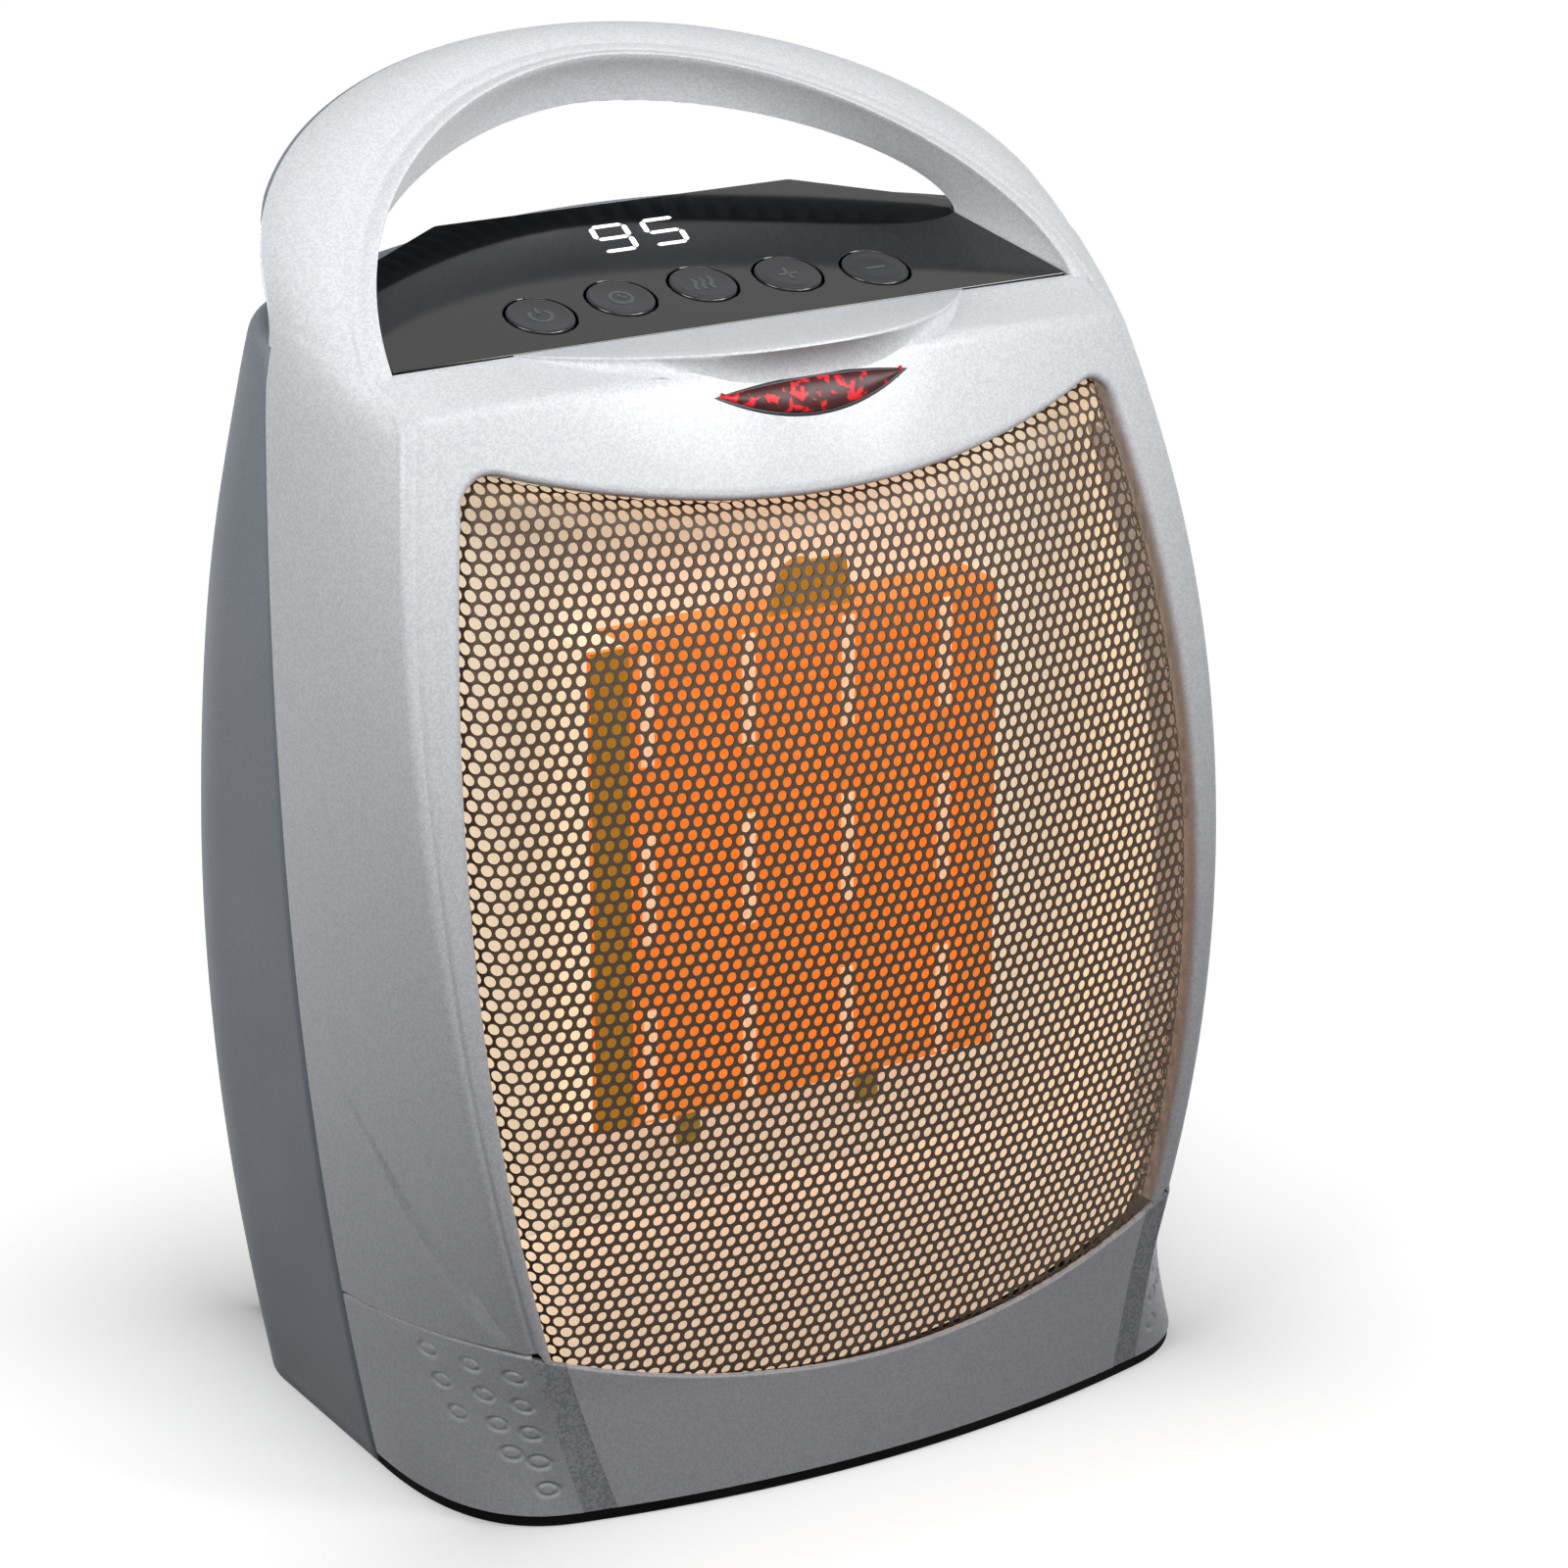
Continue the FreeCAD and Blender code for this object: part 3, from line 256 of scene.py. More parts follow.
@dataclass(frozen=True)
class PaperSweep(Finish):
    """Matt paper under the object: a painted shadow close to its footprint, white to the eye farther out."""

    footprint: tuple[float, float, float] = (0.074, 0.052, 0.0)
    shade_reach: float = 0.11
    shade_power: float = 0.45
    shade_range: tuple[float, float] = (0.2, 0.98)
    bounce_tone: str = "404040"

    def shade(self, tree: bpy.types.NodeTree, place: bpy.types.NodeSocket) -> None:
        """Painted shadow: distance from the footprint, to a power, sets the glow that only eye and mirror
        rays see.

        Args:
            tree: the node tree.
            place: Object coordinates.
        """
        side = add_node(tree, "ShaderNodeVectorMath", {0: place}, operation="ABSOLUTE")
        past = add_node(tree, "ShaderNodeVectorMath", {0: side.outputs[0], 1: self.footprint},
                        operation="SUBTRACT")
        clear = add_node(tree, "ShaderNodeVectorMath", {0: past.outputs[0], 1: (0.0, 0.0, 0.0)},
                         operation="MAXIMUM")
        reach = add_node(tree, "ShaderNodeVectorMath", {0: clear.outputs[0]}, operation="LENGTH")
        share = add_node(tree, "ShaderNodeMapRange",
                         {"Value": reach.outputs["Value"], "From Max": self.shade_reach})
        eased = add_node(tree, "ShaderNodeMath", {0: share.outputs[0], 1: self.shade_power},
                         operation="POWER")
        white = add_node(tree, "ShaderNodeMapRange", {
            "Value": eased.outputs[0], "To Min": self.shade_range[0], "To Max": self.shade_range[1],
        })
        path = add_node(tree, "ShaderNodeLightPath").outputs
        seen = add_node(tree, "ShaderNodeMath", {0: path["Is Camera Ray"], 1: path["Is Glossy Ray"]},
                        operation="MAXIMUM")
        shine = add_node(tree, "ShaderNodeMath", {0: white.outputs[0], 1: seen.outputs[0]},
                         operation="MULTIPLY")
        fibre = add_node(tree, "ShaderNodeTexNoise", {"Vector": place, "Scale": 1.0 / (self.grain_mm * MM)})
        tone = add_node(tree, "ShaderNodeMix", {
            "Factor": fibre.outputs["Fac"], 6: linear(self.tone), 7: linear(self.grain_tone),
        }, data_type="RGBA")
        dull = add_node(tree, "ShaderNodeMix", {
            "Factor": seen.outputs[0], 6: linear(self.bounce_tone), 7: tone.outputs[2],
        }, data_type="RGBA")
        paper = add_node(tree, "ShaderNodeBsdfDiffuse", {"Color": dull.outputs[2]})
        glow = add_node(tree, "ShaderNodeEmission", {"Strength": shine.outputs[0]})
        both = add_node(tree, "ShaderNodeAddShader", {0: paper.outputs[0], 1: glow.outputs[0]})
        add_node(tree, "ShaderNodeOutputMaterial", {"Surface": both.outputs[0]})


# Silver lacquer sprayed on ABS: soft satin sheen with a fine sparkle, drawn coarser than real flake
SILVER = FlakePaint("silver_flake_lacquer_on_abs", "D2D3D7", "C4C5CA", 0.35, 60.0, (0.4, 0.48), 0.003,
                    coat=0.25, ior=1.35)
# The same lacquer over a coarse spark-eroded strip: darker, with grain that shows
COARSE_SILVER = FlakePaint("silver_lacquer_on_coarse_abs", "BEBFC3", "A0A1A6", 0.5, 40.0, (0.55, 0.65), 0.03,
                           ior=1.35)
# Blue-grey ABS moulded in a spark-eroded tool: even satin colour with a faint grain
BLUE_GREY = Finish("moulded_blue_grey_abs", "7F858E", "737982", 0.5, 50.0, (0.44, 0.54), 0.008,
                   ior=1.4)
# Black ABS, moulded: deep satin black of the rim, ducts and brackets
BLACK = Finish("moulded_black_abs", "151618", "1C1D20", 0.6, 30.0, (0.4, 0.55), 0.01)
# Black elastomer of the foot rim: dull, takes up nearly all light, and also stands for the contact shadow
# under it (painted shadow)
RIM_BLACK_AND_PAINTED_SHADOW = Finish("black_rim_with_painted_contact_shadow", "050506", "08080A", 0.5, 20.0, (0.75, 0.9), 0.01, ior=1.2)
# Acrylic sheet, back-printed black: mirror-like face that shows the handle above it
GLOSS_BLACK = Finish("back_printed_black_acrylic", "08090A", "0B0C0D", 0.8, 70.0, (0.05, 0.09), 0.0005)
# Black polycarbonate keys: gloss a little softer than the panel
KEY_BLACK = Finish("polished_black_polycarbonate", "16171A", "1B1C1F", 0.7, 20.0, (0.12, 0.2), 0.001)
# Pad-printed grey ink: thin matt strokes
KEY_INK = Finish("pad_printed_grey_ink", "4A4C50", "424448", 0.3, 5.0, (0.5, 0.6), 0.002)
# Lit display segments: even white light through a diffuser
LIT_WHITE = Finish("lit_white_diffuser", "F4F6F8", "ECEFF2", 0.5, 5.0, (0.4, 0.5), 0.001,
                   glow="FFFFFF", glow_strength=0.9)
# Punched steel sheet, powder coated: dull and dark with a fine tooth; its brown warmth is a painted glow from
# the block
PUNCHED_STEEL = Finish("powder_coated_punched_steel", "46331F", "372717", 0.5, 25.0, (0.5, 0.62), 0.01)
# Red polycarbonate with a facetted back: dark ruby, its broken bright lines painted glints of the facets
RUBY = FacetPlastic("facetted_red_polycarbonate", "401416", "E0242C", 2.6, 3.2, (0.3, 0.4), 0.03, ior=1.3)
# Aluminium strip folded to fins: satin metal, with a painted orange glow in its tone and emission
FIN_PAINTED_GLOW = Finish("aluminium_fin_with_painted_glow", "DE7A38", "CE662C", 1.6, 12.0, (0.4, 0.55), 0.03,
                  glow="F58430", glow_strength=0.8)
# Glazed ceramic bars, fired: smooth, with a painted orange glow in tone and emission
BAR_PAINTED_GLOW = Finish("ceramic_bar_with_painted_glow", "DC7634", "CE662A", 2.2, 8.0, (0.35, 0.5), 0.02,
                  glow="F58430", glow_strength=0.7)
# Split mica strips: pale and a little pearly, with a painted glow for the bars' light from the side
MICA_PAINTED_GLOW = Finish("mica_strip_with_painted_glow", "FFDCC0", "F6CBA8", 1.4, 6.0, (0.4, 0.55), 0.02,
                  glow="FFC498", glow_strength=0.7)
# Heat-resistant resin of the frame, moulded: matt, with a painted orange glow in tone and emission
FRAME_PAINTED_GLOW = Finish("resin_frame_with_painted_glow", "DE7A38", "CE662C", 1.2, 15.0, (0.45, 0.6), 0.02,
                    glow="F58430", glow_strength=0.75)
# The same resin with painted shade: a darker olive copy for the side cap and the tabs, with a weaker painted
# glow
RESIN_PAINTED_SHADE_AND_GLOW = Finish("resin_with_painted_shade_and_glow", "B07A1C", "9E6C16", 1.2, 12.0, (0.45, 0.6), 0.02,
                   glow="C08020", glow_strength=0.5)
# Cream nylon, moulded: pale and matt behind the grille, with a painted warm glow
CREAM_PAINTED_GLOW = Finish("cream_nylon_with_painted_glow", "EFE2CE", "E6D6BE", 1.0, 35.0, (0.5, 0.62), 0.015,
                    glow="EEDCC2", glow_strength=0.5)
# Zinc-plated steel: cool grey metal with cloudy gloss
ZINC = Finish("zinc_plated_steel", "B9BCC0", "A3A7AC", 1.2, 10.0, (0.3, 0.45), 0.01, metallic=1.0)
# Rolled brass strip: warm yellow metal, a little streaked
BRASS = Finish("rolled_brass_strip", "C9A552", "B9933F", 0.9, 9.0, (0.28, 0.4), 0.008, metallic=1.0)
# Moulded rubber of the feet: dull near-black
RUBBER = Finish("moulded_black_rubber", "1B1B1C", "222223", 0.4, 12.0, (0.7, 0.85), 0.02)
# Glass-fibre laminate of the boards: green, satin, faintly woven
LAMINATE = Finish("green_glass_fibre_laminate", "2E5B3A", "264C31", 1.1, 14.0, (0.35, 0.5), 0.01)
# Pressed aluminium sheet of the impeller: bright satin metal
ALUMINIUM = Finish("pressed_aluminium_sheet", "C3C6CA", "B2B5B9", 1.3, 22.0, (0.3, 0.42), 0.01, metallic=1.0)
# Cotton paper sheet, calendered: matt white studio floor, with a painted shadow near the object's footprint
PAPER = PaperSweep("paper_sweep_with_painted_shadow", "E6E6E6", "E2E2E2", 3.0)

NODE_FINISHES = {
    "base_plate": BLACK, "rubber_feet": RUBBER, "housing_screws": ZINC, "cord_inlet": BLACK,
    "display_module": BLACK, "control_board": LAMINATE, "button_switches": ZINC, "indicator_lamp": RUBY,
    "ptc_frame": FRAME_PAINTED_GLOW, "heating_bars": BAR_PAINTED_GLOW, "ptc_terminals": BRASS, "cutoff_bracket": RESIN_PAINTED_SHADE_AND_GLOW,
    "thermal_cutoff": RESIN_PAINTED_SHADE_AND_GLOW, "air_duct": CREAM_PAINTED_GLOW, "fan_shroud": BLACK, "motor_bracket": ZINC,
    "fan_motor": ZINC, "motor_bearings": BRASS, "fan_shaft": ZINC, "fan_impeller": ALUMINIUM,
    "impeller_clip": BRASS, "power_board": LAMINATE, "relays": BLACK, "tip_plunger": BLACK,
    "tip_switch": BLACK,
}


def mix(a: Array, b: Array, share: Array) -> Array:
    """Straight blend from a to b by a share from 0 to 1."""
    return a + (b - a) * share


def unit(vectors: Array) -> Array:
    """Vectors scaled to length 1 along their last axis."""
    return vectors / np.maximum(np.linalg.norm(vectors, axis=-1, keepdims=True), 1e-9)


def curve_through(start: Array, bend: Array, end: Array, steps: int | Array) -> Array:
    """Quadratic curves from start to end, pulled towards bend.

    Args:
        start: points of shape (n, 3).
        bend: control points of shape (n, 3).
        end: points of shape (n, 3).
        steps: number of points along each curve, or their shares from 0 to 1.

    Returns:
        Points of shape (n, steps, 3).
    """
    share = (np.linspace(0.0, 1.0, steps) if isinstance(steps, int) else steps)[None, :, None]
    first = start[:, None] * (1.0 - share) ** 2
    return first + bend[:, None] * 2.0 * share * (1.0 - share) + end[:, None] * share ** 2


def run_length(path: Array) -> Array:
    """Length along a polyline up to each of its points, summed from its steps."""
    steps = np.linalg.norm(np.diff(path, axis=0), axis=1)
    return np.concatenate([[0.0], np.cumsum(steps)])


def spread_along(path: Array, shares: Array) -> Array:
    """Points on a polyline at given shares of its length.

    Args:
        path: points of shape (n, k).
        shares: shares from 0 to 1.

    Returns:
        Points of shape (len(shares), k).
    """
    length = run_length(path)
    return np.stack([np.interp(shares * length[-1], length, column) for column in path.T], axis=1)


@dataclass
class Skin:
    """A mesh in the making: points in millimetres and faces, gathered from several grids."""

    points: list[Array] = field(default_factory=list)
    faces: list[Array] = field(default_factory=list)
    count: int = 0

    @classmethod
    def of(cls, *grids: Array) -> Skin:
        """Start a mesh from whole grids.

        Args:
            grids: points of shape (rows, columns, 3) each.

        Returns:
            The mesh in the making.
        """
        made = cls()
        for grid in grids:
            made.add_grid(grid)
        return made

    def add_grid(self, grid: Array, wrap: bool = False, keep: Array | None = None) -> None:
        """Add a grid of quads.

        Args:
            grid: points of shape (rows, columns, 3).
            wrap: joins the last column to the first.
            keep: mask of shape (rows - 1, columns - 1) of the quads to keep.
        """
        rows, columns = grid.shape[:2]
        index = np.arange(rows * columns).reshape(rows, columns) + self.count
        if wrap:
            index = np.concatenate([index, index[:, :1]], axis=1)
        quads = np.stack([index[:-1, :-1], index[:-1, 1:], index[1:, 1:], index[1:, :-1]], axis=-1)
        chosen = quads.reshape(-1, 4) if keep is None else quads[keep]
        self.add_faces(grid.reshape(-1, 3), chosen - self.count)

    def add_faces(self, points: Array, faces: Array) -> None:
        """Add points with their faces.

        Args:
            points: points of shape (n, 3).
            faces: corners of shape (m, 4), counted from the first of those points.
        """
        self.points.append(points)
        self.faces.append(faces + self.count)
        self.count += len(points)

    def piece(self, name: str, finish: Finish, toward: tuple[float, float, float] | None = None,
              wall_mm: float = 0.0, sharp_deg: float = 40.0) -> bpy.types.Object:
        """Weld the grids into one mesh, face it outwards, and dress it.

        Args:
            name: the piece's name.
            finish: its material.
            toward: direction that an open sheet faces; without it the faces point away from the middle.
            wall_mm: wall thickness behind the skin, made by a Solidify modifier.
            sharp_deg: edges that turn by more than this stay sharp.

        Returns:
            The new object, at the origin.
        """
        mesh = bpy.data.meshes.new(name)
        mesh.from_pydata((np.concatenate(self.points) * MM).tolist(), [], np.concatenate(self.faces).tolist())
        work = bmesh.new()
        work.from_mesh(mesh)
        bmesh.ops.remove_doubles(work, verts=work.verts, dist=0.01 * MM)
        bmesh.ops.dissolve_degenerate(work, edges=work.edges, dist=0.001 * MM)
        bmesh.ops.recalc_face_normals(work, faces=work.faces)
        work.to_mesh(mesh)
        work.free()
        normals = np.zeros(len(mesh.polygons) * 3)
        centres = np.zeros(len(mesh.polygons) * 3)
        areas = np.zeros(len(mesh.polygons))
        mesh.polygons.foreach_get("normal", normals)
        mesh.polygons.foreach_get("center", centres)
        mesh.polygons.foreach_get("area", areas)
        normals, centres = normals.reshape(-1, 3), centres.reshape(-1, 3)
        lean = np.array(toward) if toward else centres - centres.mean(axis=0)
        if (np.sum(normals * lean, axis=1) * areas).sum() < 0.0:
            mesh.flip_normals()
        mesh.polygons.foreach_set("use_smooth", np.ones(len(mesh.polygons), dtype=bool))
        mesh.set_sharp_from_angle(angle=math.radians(sharp_deg))
        mesh.materials.append(finish.material())
        made = bpy.data.objects.new(name, mesh)
        bpy.context.scene.collection.objects.link(made)
        if wall_mm:
            wall = made.modifiers.new("wall", "SOLIDIFY")
            wall.thickness = wall_mm * MM
            wall.offset = -1.0
        return made


def settle(piece: bpy.types.Object, body: Body, slot: str, *nodes: str) -> None:
    """Ride a piece on its body and hide the frame nodes that it stands for.

    Args:
        piece: the finished object.
        body: the body it moves with.
        slot: name of its material slot; not used.
        nodes: frame nodes that it stands for.
    """
    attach(piece, body.value)
    if nodes:
        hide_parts(*nodes)
    log.info("%s: %d faces", piece.name, len(piece.data.polygons))


@dataclass(frozen=True)
class HousingCurves:
    """Outlines that the shells, the grille and the panel share."""

    crease_half_max: float = 85.4
    crease_max_z: float = 135.0
    crease_radii: tuple[float, float] = (360.0, 265.0)
    crease_foot_y: float = -60.5
    lean_start_z: float = 40.0
    lean_radius: float = 456.0
    split_half_max: float = 92.0
    split_max_z: float = 112.0
    split_radii: tuple[float, float] = (720.0, 1060.0)
    split_foot_y: float = -22.2
    split_lean: float = 0.114
    front_radius: float = 250.0
    window_half_max: float = 77.8
    window_max_z: float = 117.0
    window_radius: float = 310.0
    window_top: tuple[float, float, float] = (185.1, 195.5, 66.0)
    seam: tuple[float, float, float] = (22.5, 35.5, 72.0)
    panel_front_y: float = -18.0
    panel_front_z: float = 210.0
    panel_tilt: float = 15.5
    bulge_top: float = 1.5
    bulge_foot: float = 4.5
    bulge_below_z: float = 60.0

    def bow(self, z: Array, peak: float, peak_z: float, radii: tuple[float, float]) -> Array:
        """Half width that falls off with the square of the height from its peak."""
        return peak - (z - peak_z) ** 2 / (2.0 * np.where(z < peak_z, radii[0], radii[1]))

    def crease_half(self, z: Array) -> Array:
        """Half width at the crease between front face and side wall."""
        return self.bow(z, self.crease_half_max, self.crease_max_z, self.crease_radii)

    def crease_y(self, z: Array) -> Array:
        """Depth of the crease: upright at the foot, then leaning back on an arc."""
        return self.crease_foot_y + np.maximum(z - self.lean_start_z, 0.0) ** 2 / (2.0 * self.lean_radius)

    def split_half(self, z: Array) -> Array:
        """Half width at the split between the shells."""
        return self.bow(z, self.split_half_max, self.split_max_z, self.split_radii)

    def split_y(self, z: Array) -> Array:
        """Depth of the leaning split."""
        return self.split_foot_y + self.split_lean * z

    def front_y(self, x: Array, z: Array) -> Array:
        """Depth of the front face, which bows forward between its creases."""
        return self.crease_y(z) - (self.crease_half(z) ** 2 - x * x) / (2.0 * self.front_radius)

    def window_half(self, z: Array) -> Array:
        """Half width of the grille window."""
        return self.bow(z, self.window_half_max, self.window_max_z, (self.window_radius, self.window_radius))

    def sag(self, x: Array, middle: float, corner: float, corner_x: float) -> Array:
        """Height of an arc that hangs from two corners, level beyond them.

        Args:
            x: places across.
            middle: height of the arc's middle.
            corner: height of its corners.
            corner_x: half the distance between the corners.

        Returns:
            Heights at x.
        """
        radius = (corner_x ** 2 + (corner - middle) ** 2) / (2.0 * (corner - middle))
        inside = np.minimum(np.abs(x), corner_x)
        return middle + radius - np.sqrt(radius ** 2 - inside ** 2)

    def window_top_z(self, x: Array) -> Array:
        """Upper edge of the window."""
        return self.sag(x, *self.window_top)

    def seam_z(self, x: Array) -> Array:
        """Seam between the front shell and the base cover, and lower edge of the window."""
        return self.sag(x, *self.seam)

    def wall_bulge(self, z: Array) -> Array:
        """How far a side wall bulges, more towards the foot."""
        return self.bulge_top + self.bulge_foot * np.maximum(1.0 - z / self.bulge_below_z, 0.0) ** 2

    def on_panel(self, x: Array, depth: Array, lift: Array) -> Array:
        """Points from the panel's axes to the housing's axes, turned by the panel's tilt.

        Args:
            x: places across.
            depth: distance behind the panel's front edge.
            lift: height over the panel's face.

        Returns:
            Points of shape (..., 3).
        """
        turn = math.radians(self.panel_tilt)
        y = self.panel_front_y + depth * math.cos(turn) - lift * math.sin(turn)
        z = self.panel_front_z + depth * math.sin(turn) + lift * math.cos(turn)
        return np.stack(np.broadcast_arrays(x, y, z), axis=-1).astype(float)


CURVES = HousingCurves()


@dataclass(frozen=True)
class ArchLine:
    """One outline of the handle: a superellipse that rises from its foot and leans back late."""

    foot: tuple[float, float, float]
    apex_y: float
    apex_z: float
    power: float
    lean: float

    def points(self, angle: Array) -> Array:
        """Points of the outline.

        Args:
            angle: station angles in radians, from the left foot to the right foot.

        Returns:
            Points of shape (n, 3).
        """
        across = np.sign(np.sin(angle)) * np.abs(np.sin(angle)) ** (2.0 / self.power)
        rise = np.abs(np.cos(angle)) ** (2.0 / self.power)
        x, y, z = self.foot
        return np.stack([x * across, mix(y, self.apex_y, rise ** self.lean), mix(z, self.apex_z, rise)], 1)


NOSE = ArchLine((73.0, -19.5, 209.2), 37.0, 250.2, 1.87, 1.15)
OUTER = ArchLine((84.6, 4.6, 216.0), 57.0, 252.6, 2.05, 1.25)
INNER = ArchLine((64.5, 9.5, 217.0), 41.0, 240.4, 1.8, 1.6)
FLIP = np.array([-1.0, 1.0, 1.0])


@dataclass
class FrontShell:
    """Silver front: side walls that run on into the handle, the window frame and the bezel with its brow."""

    edge_round: float = 2.2
    valley: float = 0.45
    strip_width: float = 3.3
    rim_foot: tuple[float, float, float] = (-77.9, -19.6, 207.7)
    slope_foot: tuple[float, float, float] = (-76.0, -19.8, 208.4)
    heel_bend: tuple[float, float, float] = (-87.4, 1.8, 210.5)
    flange: float = 2.0
    wall_columns: int = 140
    round_columns: int = 8
    inner_columns: int = 12
    arch_stations: int = 130
    seam_gap: float = 0.35
    groove_top_z: float = 82.0
    frame_top_z: float = 199.0
    bend_foot_z: float = 204.6
    bend_rise: float = 4.2
    bend_half: float = 75.5
    brow_half: float = 48.0
    brow_front_y: float = -45.0
    brow_power: float = 2.3
    brow_lift: float = 2.0
    brow_foot_z: float = 204.0
    brow_hollow: float = 2.6
    frame_fillet: float = 1.6
    reveal: float = 12.0
    window_round: float = 4.5
    groove: tuple[tuple[float, float], ...] = (
        (-25.0, 79.5), (-33.6, 68.8), (-40.6, 58.6), (-49.0, 47.6), (-57.2, 37.2),
    )
    groove_depth: float = 2.6
    groove_width: float = 2.0
    groove_deepens: float = 0.3
    groove_runs_out: float = 0.2
    groove_end: float = 3.0
    groove_samples: int = 80
    low_rows: int = 120
    high_rows: int = 48
    ease_reach: int = 16
    ease_rounds: int = 30
    arch_bulge: float = 1.2
    bead_place: float = 0.45
    bead_lift: float = 1.3
    foot_sunk: tuple[float, float, float] = (0.0, -2.0, -10.0)
    bezel_lip: float = 0.6
    panel_step: float = 4.0
    brow_columns: int = 121
    brow_face_share: float = 0.42
    brow_blend: float = 0.2
    brow_run_out: float = 3.5
    front_rows: int = 9
    slope_rows: int = 13
    bezel_columns: int = 181

    def wall_heights(self) -> Array:
        """Heights of the wall's stations up to the top of the frame, close together at the groove."""
        low = np.linspace(CURVES.seam[1] + self.seam_gap, self.groove_top_z, self.low_rows)
        return np.concatenate([low, np.linspace(self.groove_top_z, self.frame_top_z, self.high_rows)[1:]])

    def side_paths(self) -> tuple[Array, Array, Array]:
        """Left rear edge, crest and valley of the side wall, from the seam up to the handle's foot.

        Returns:
            Three arrays of shape (n, 3): rear edge, crest, and the valley where the front face begins.
        """
        low = self.wall_heights()
        z = np.concatenate([low, np.linspace(self.frame_top_z, self.bend_foot_z, self.front_rows)[1:]])
        crest = np.stack([-CURVES.crease_half(z), CURVES.crease_y(z), z], 1)
        share = np.linspace(0.0, 1.0, self.slope_rows)[1:, None]
        start = crest + np.array([0.95 * self.edge_round, 0.0, 0.0])
        start[:, 1] = CURVES.front_y(start[:, 0], z) + self.valley
        crest = np.concatenate([crest, mix(crest[-1], np.array(self.rim_foot), share)])
        start = np.concatenate([start, mix(start[-1], np.array(self.slope_foot), share)])
        rear = np.stack([-CURVES.split_half(low), CURVES.split_y(low), low], 1)
        heel = np.array([OUTER.foot]) * FLIP
        steps = self.front_rows + self.slope_rows - 1
        climb = curve_through(rear[-1:], np.array([self.heel_bend]), heel, steps)[0]
        return np.concatenate([rear, climb[1:]]), crest, start

    def arch_paths(self) -> tuple[Array, Array, Array, Array]:
        """Outlines of the handle from left foot to right foot; ridge and valley are set off from the nose.

        Returns:
            Outer line, ridge, valley and nose line, each of shape (stations, 3).
        """
        angle = np.radians(np.linspace(-90.0, 90.0, self.arch_stations))
        nose, outer = NOSE.points(angle), OUTER.points(angle)
        sideways = np.stack([np.sign(nose[:, 0]), np.zeros(len(nose)), np.zeros(len(nose))], 1)
        offset = unit(mix(sideways, unit(outer - nose), np.sqrt(np.abs(np.cos(angle)))[:, None]))
        out = -unit(np.cross(unit(np.gradient(nose, axis=0)), nose - outer))
        valley = nose + offset * self.strip_width - out * self.valley
        return outer, nose + offset * (self.strip_width + 1.0), valley, nose

    def groove_drop(self, y: Array, z: Array) -> Array:
        """Depth of the slanted groove: a soft V that widens from its pointed top and runs out at the seam.

        Args:
            y: depths of points on the side wall.
            z: their heights.

        Returns:
            Depth at each point, falling off with its distance from the groove's line.
        """
        line = spread_along(np.array(self.groove), np.linspace(0.0, 1.0, self.groove_samples))
        gap_y, gap_z = y[..., None] - line[:, 0], z[..., None] - line[:, 1]
        near = np.argmin(gap_y ** 2 + gap_z ** 2, axis=-1)
        run = unit(np.gradient(line, axis=0))[near]
        off_y = np.take_along_axis(gap_y, near[..., None], -1)[..., 0]
        off_z = np.take_along_axis(gap_z, near[..., None], -1)[..., 0]
        side = off_y * -run[..., 1] + off_z * run[..., 0]
        share = near / (len(line) - 1.0)
        taper = np.clip(share / self.groove_deepens, 0.0, 1.0) ** 0.8
        taper = taper * np.clip((1.0 - share) / self.groove_runs_out, 0.0, 1.0)
        width = self.groove_width * np.clip(share + 0.35, 0.4, 1.0)
        fade = np.clip(1.0 - np.abs(side) / width, 0.0, 1.0) ** 0.9
        ends = np.hypot(off_y, off_z) - np.abs(side)
        return self.groove_depth * taper * fade * np.clip(1.0 - ends / self.groove_end, 0.0, 1.0)

    def band(self, skin: Skin) -> None:
        """Side walls and handle in one band: rear flange, bulged wall, rounded rim and the valley inside it.

        The paths are eased where wall and handle meet, each point drawn to the mean of its neighbours.

        Args:
            skin: what the surface is added to.
        """
        rear, crest, start = self.side_paths()
        outer, ridge, valley, _ = self.arch_paths()
        rear, crest, start = (np.concatenate([side, mid[1:-1], side[::-1] * FLIP])
                              for side, mid in ((rear, outer), (crest, ridge), (start, valley)))
        feet = np.arange(len(rear))
        sides = (len(rear) - self.arch_stations + 2) // 2
        near = np.minimum(np.abs(feet - sides), np.abs(feet - (len(rear) - 1 - sides))) < self.ease_reach
        for path in (rear, crest):
            for _ in range(self.ease_rounds):
                eased = (np.roll(path, 1, axis=0) + 2.0 * path + np.roll(path, -1, axis=0)) / 4.0
                path[near] = eased[near]
        shoulder = crest + unit(rear - crest) * self.edge_round
        out = -unit(np.cross(unit(np.gradient(rear + crest, axis=0)), crest - rear))
        bulge = np.where(rear[:, 2] < OUTER.foot[2], CURVES.wall_bulge(rear[:, 2]), self.arch_bulge)
        middle = (rear + shoulder) / 2.0 + out * 2.0 * bulge[:, None]
        wall = curve_through(rear, middle, shoulder, self.wall_columns)
        wall = wall - out[:, None] * self.groove_drop(wall[..., 1], wall[..., 2])[..., None]
        rim = curve_through(wall[:, -1], crest, start, self.round_columns)
        inward = unit(start - rear) * self.flange - out * self.flange
        skin.add_grid(np.concatenate([(rear + inward)[:, None], wall, rim[:, 1:]], axis=1))

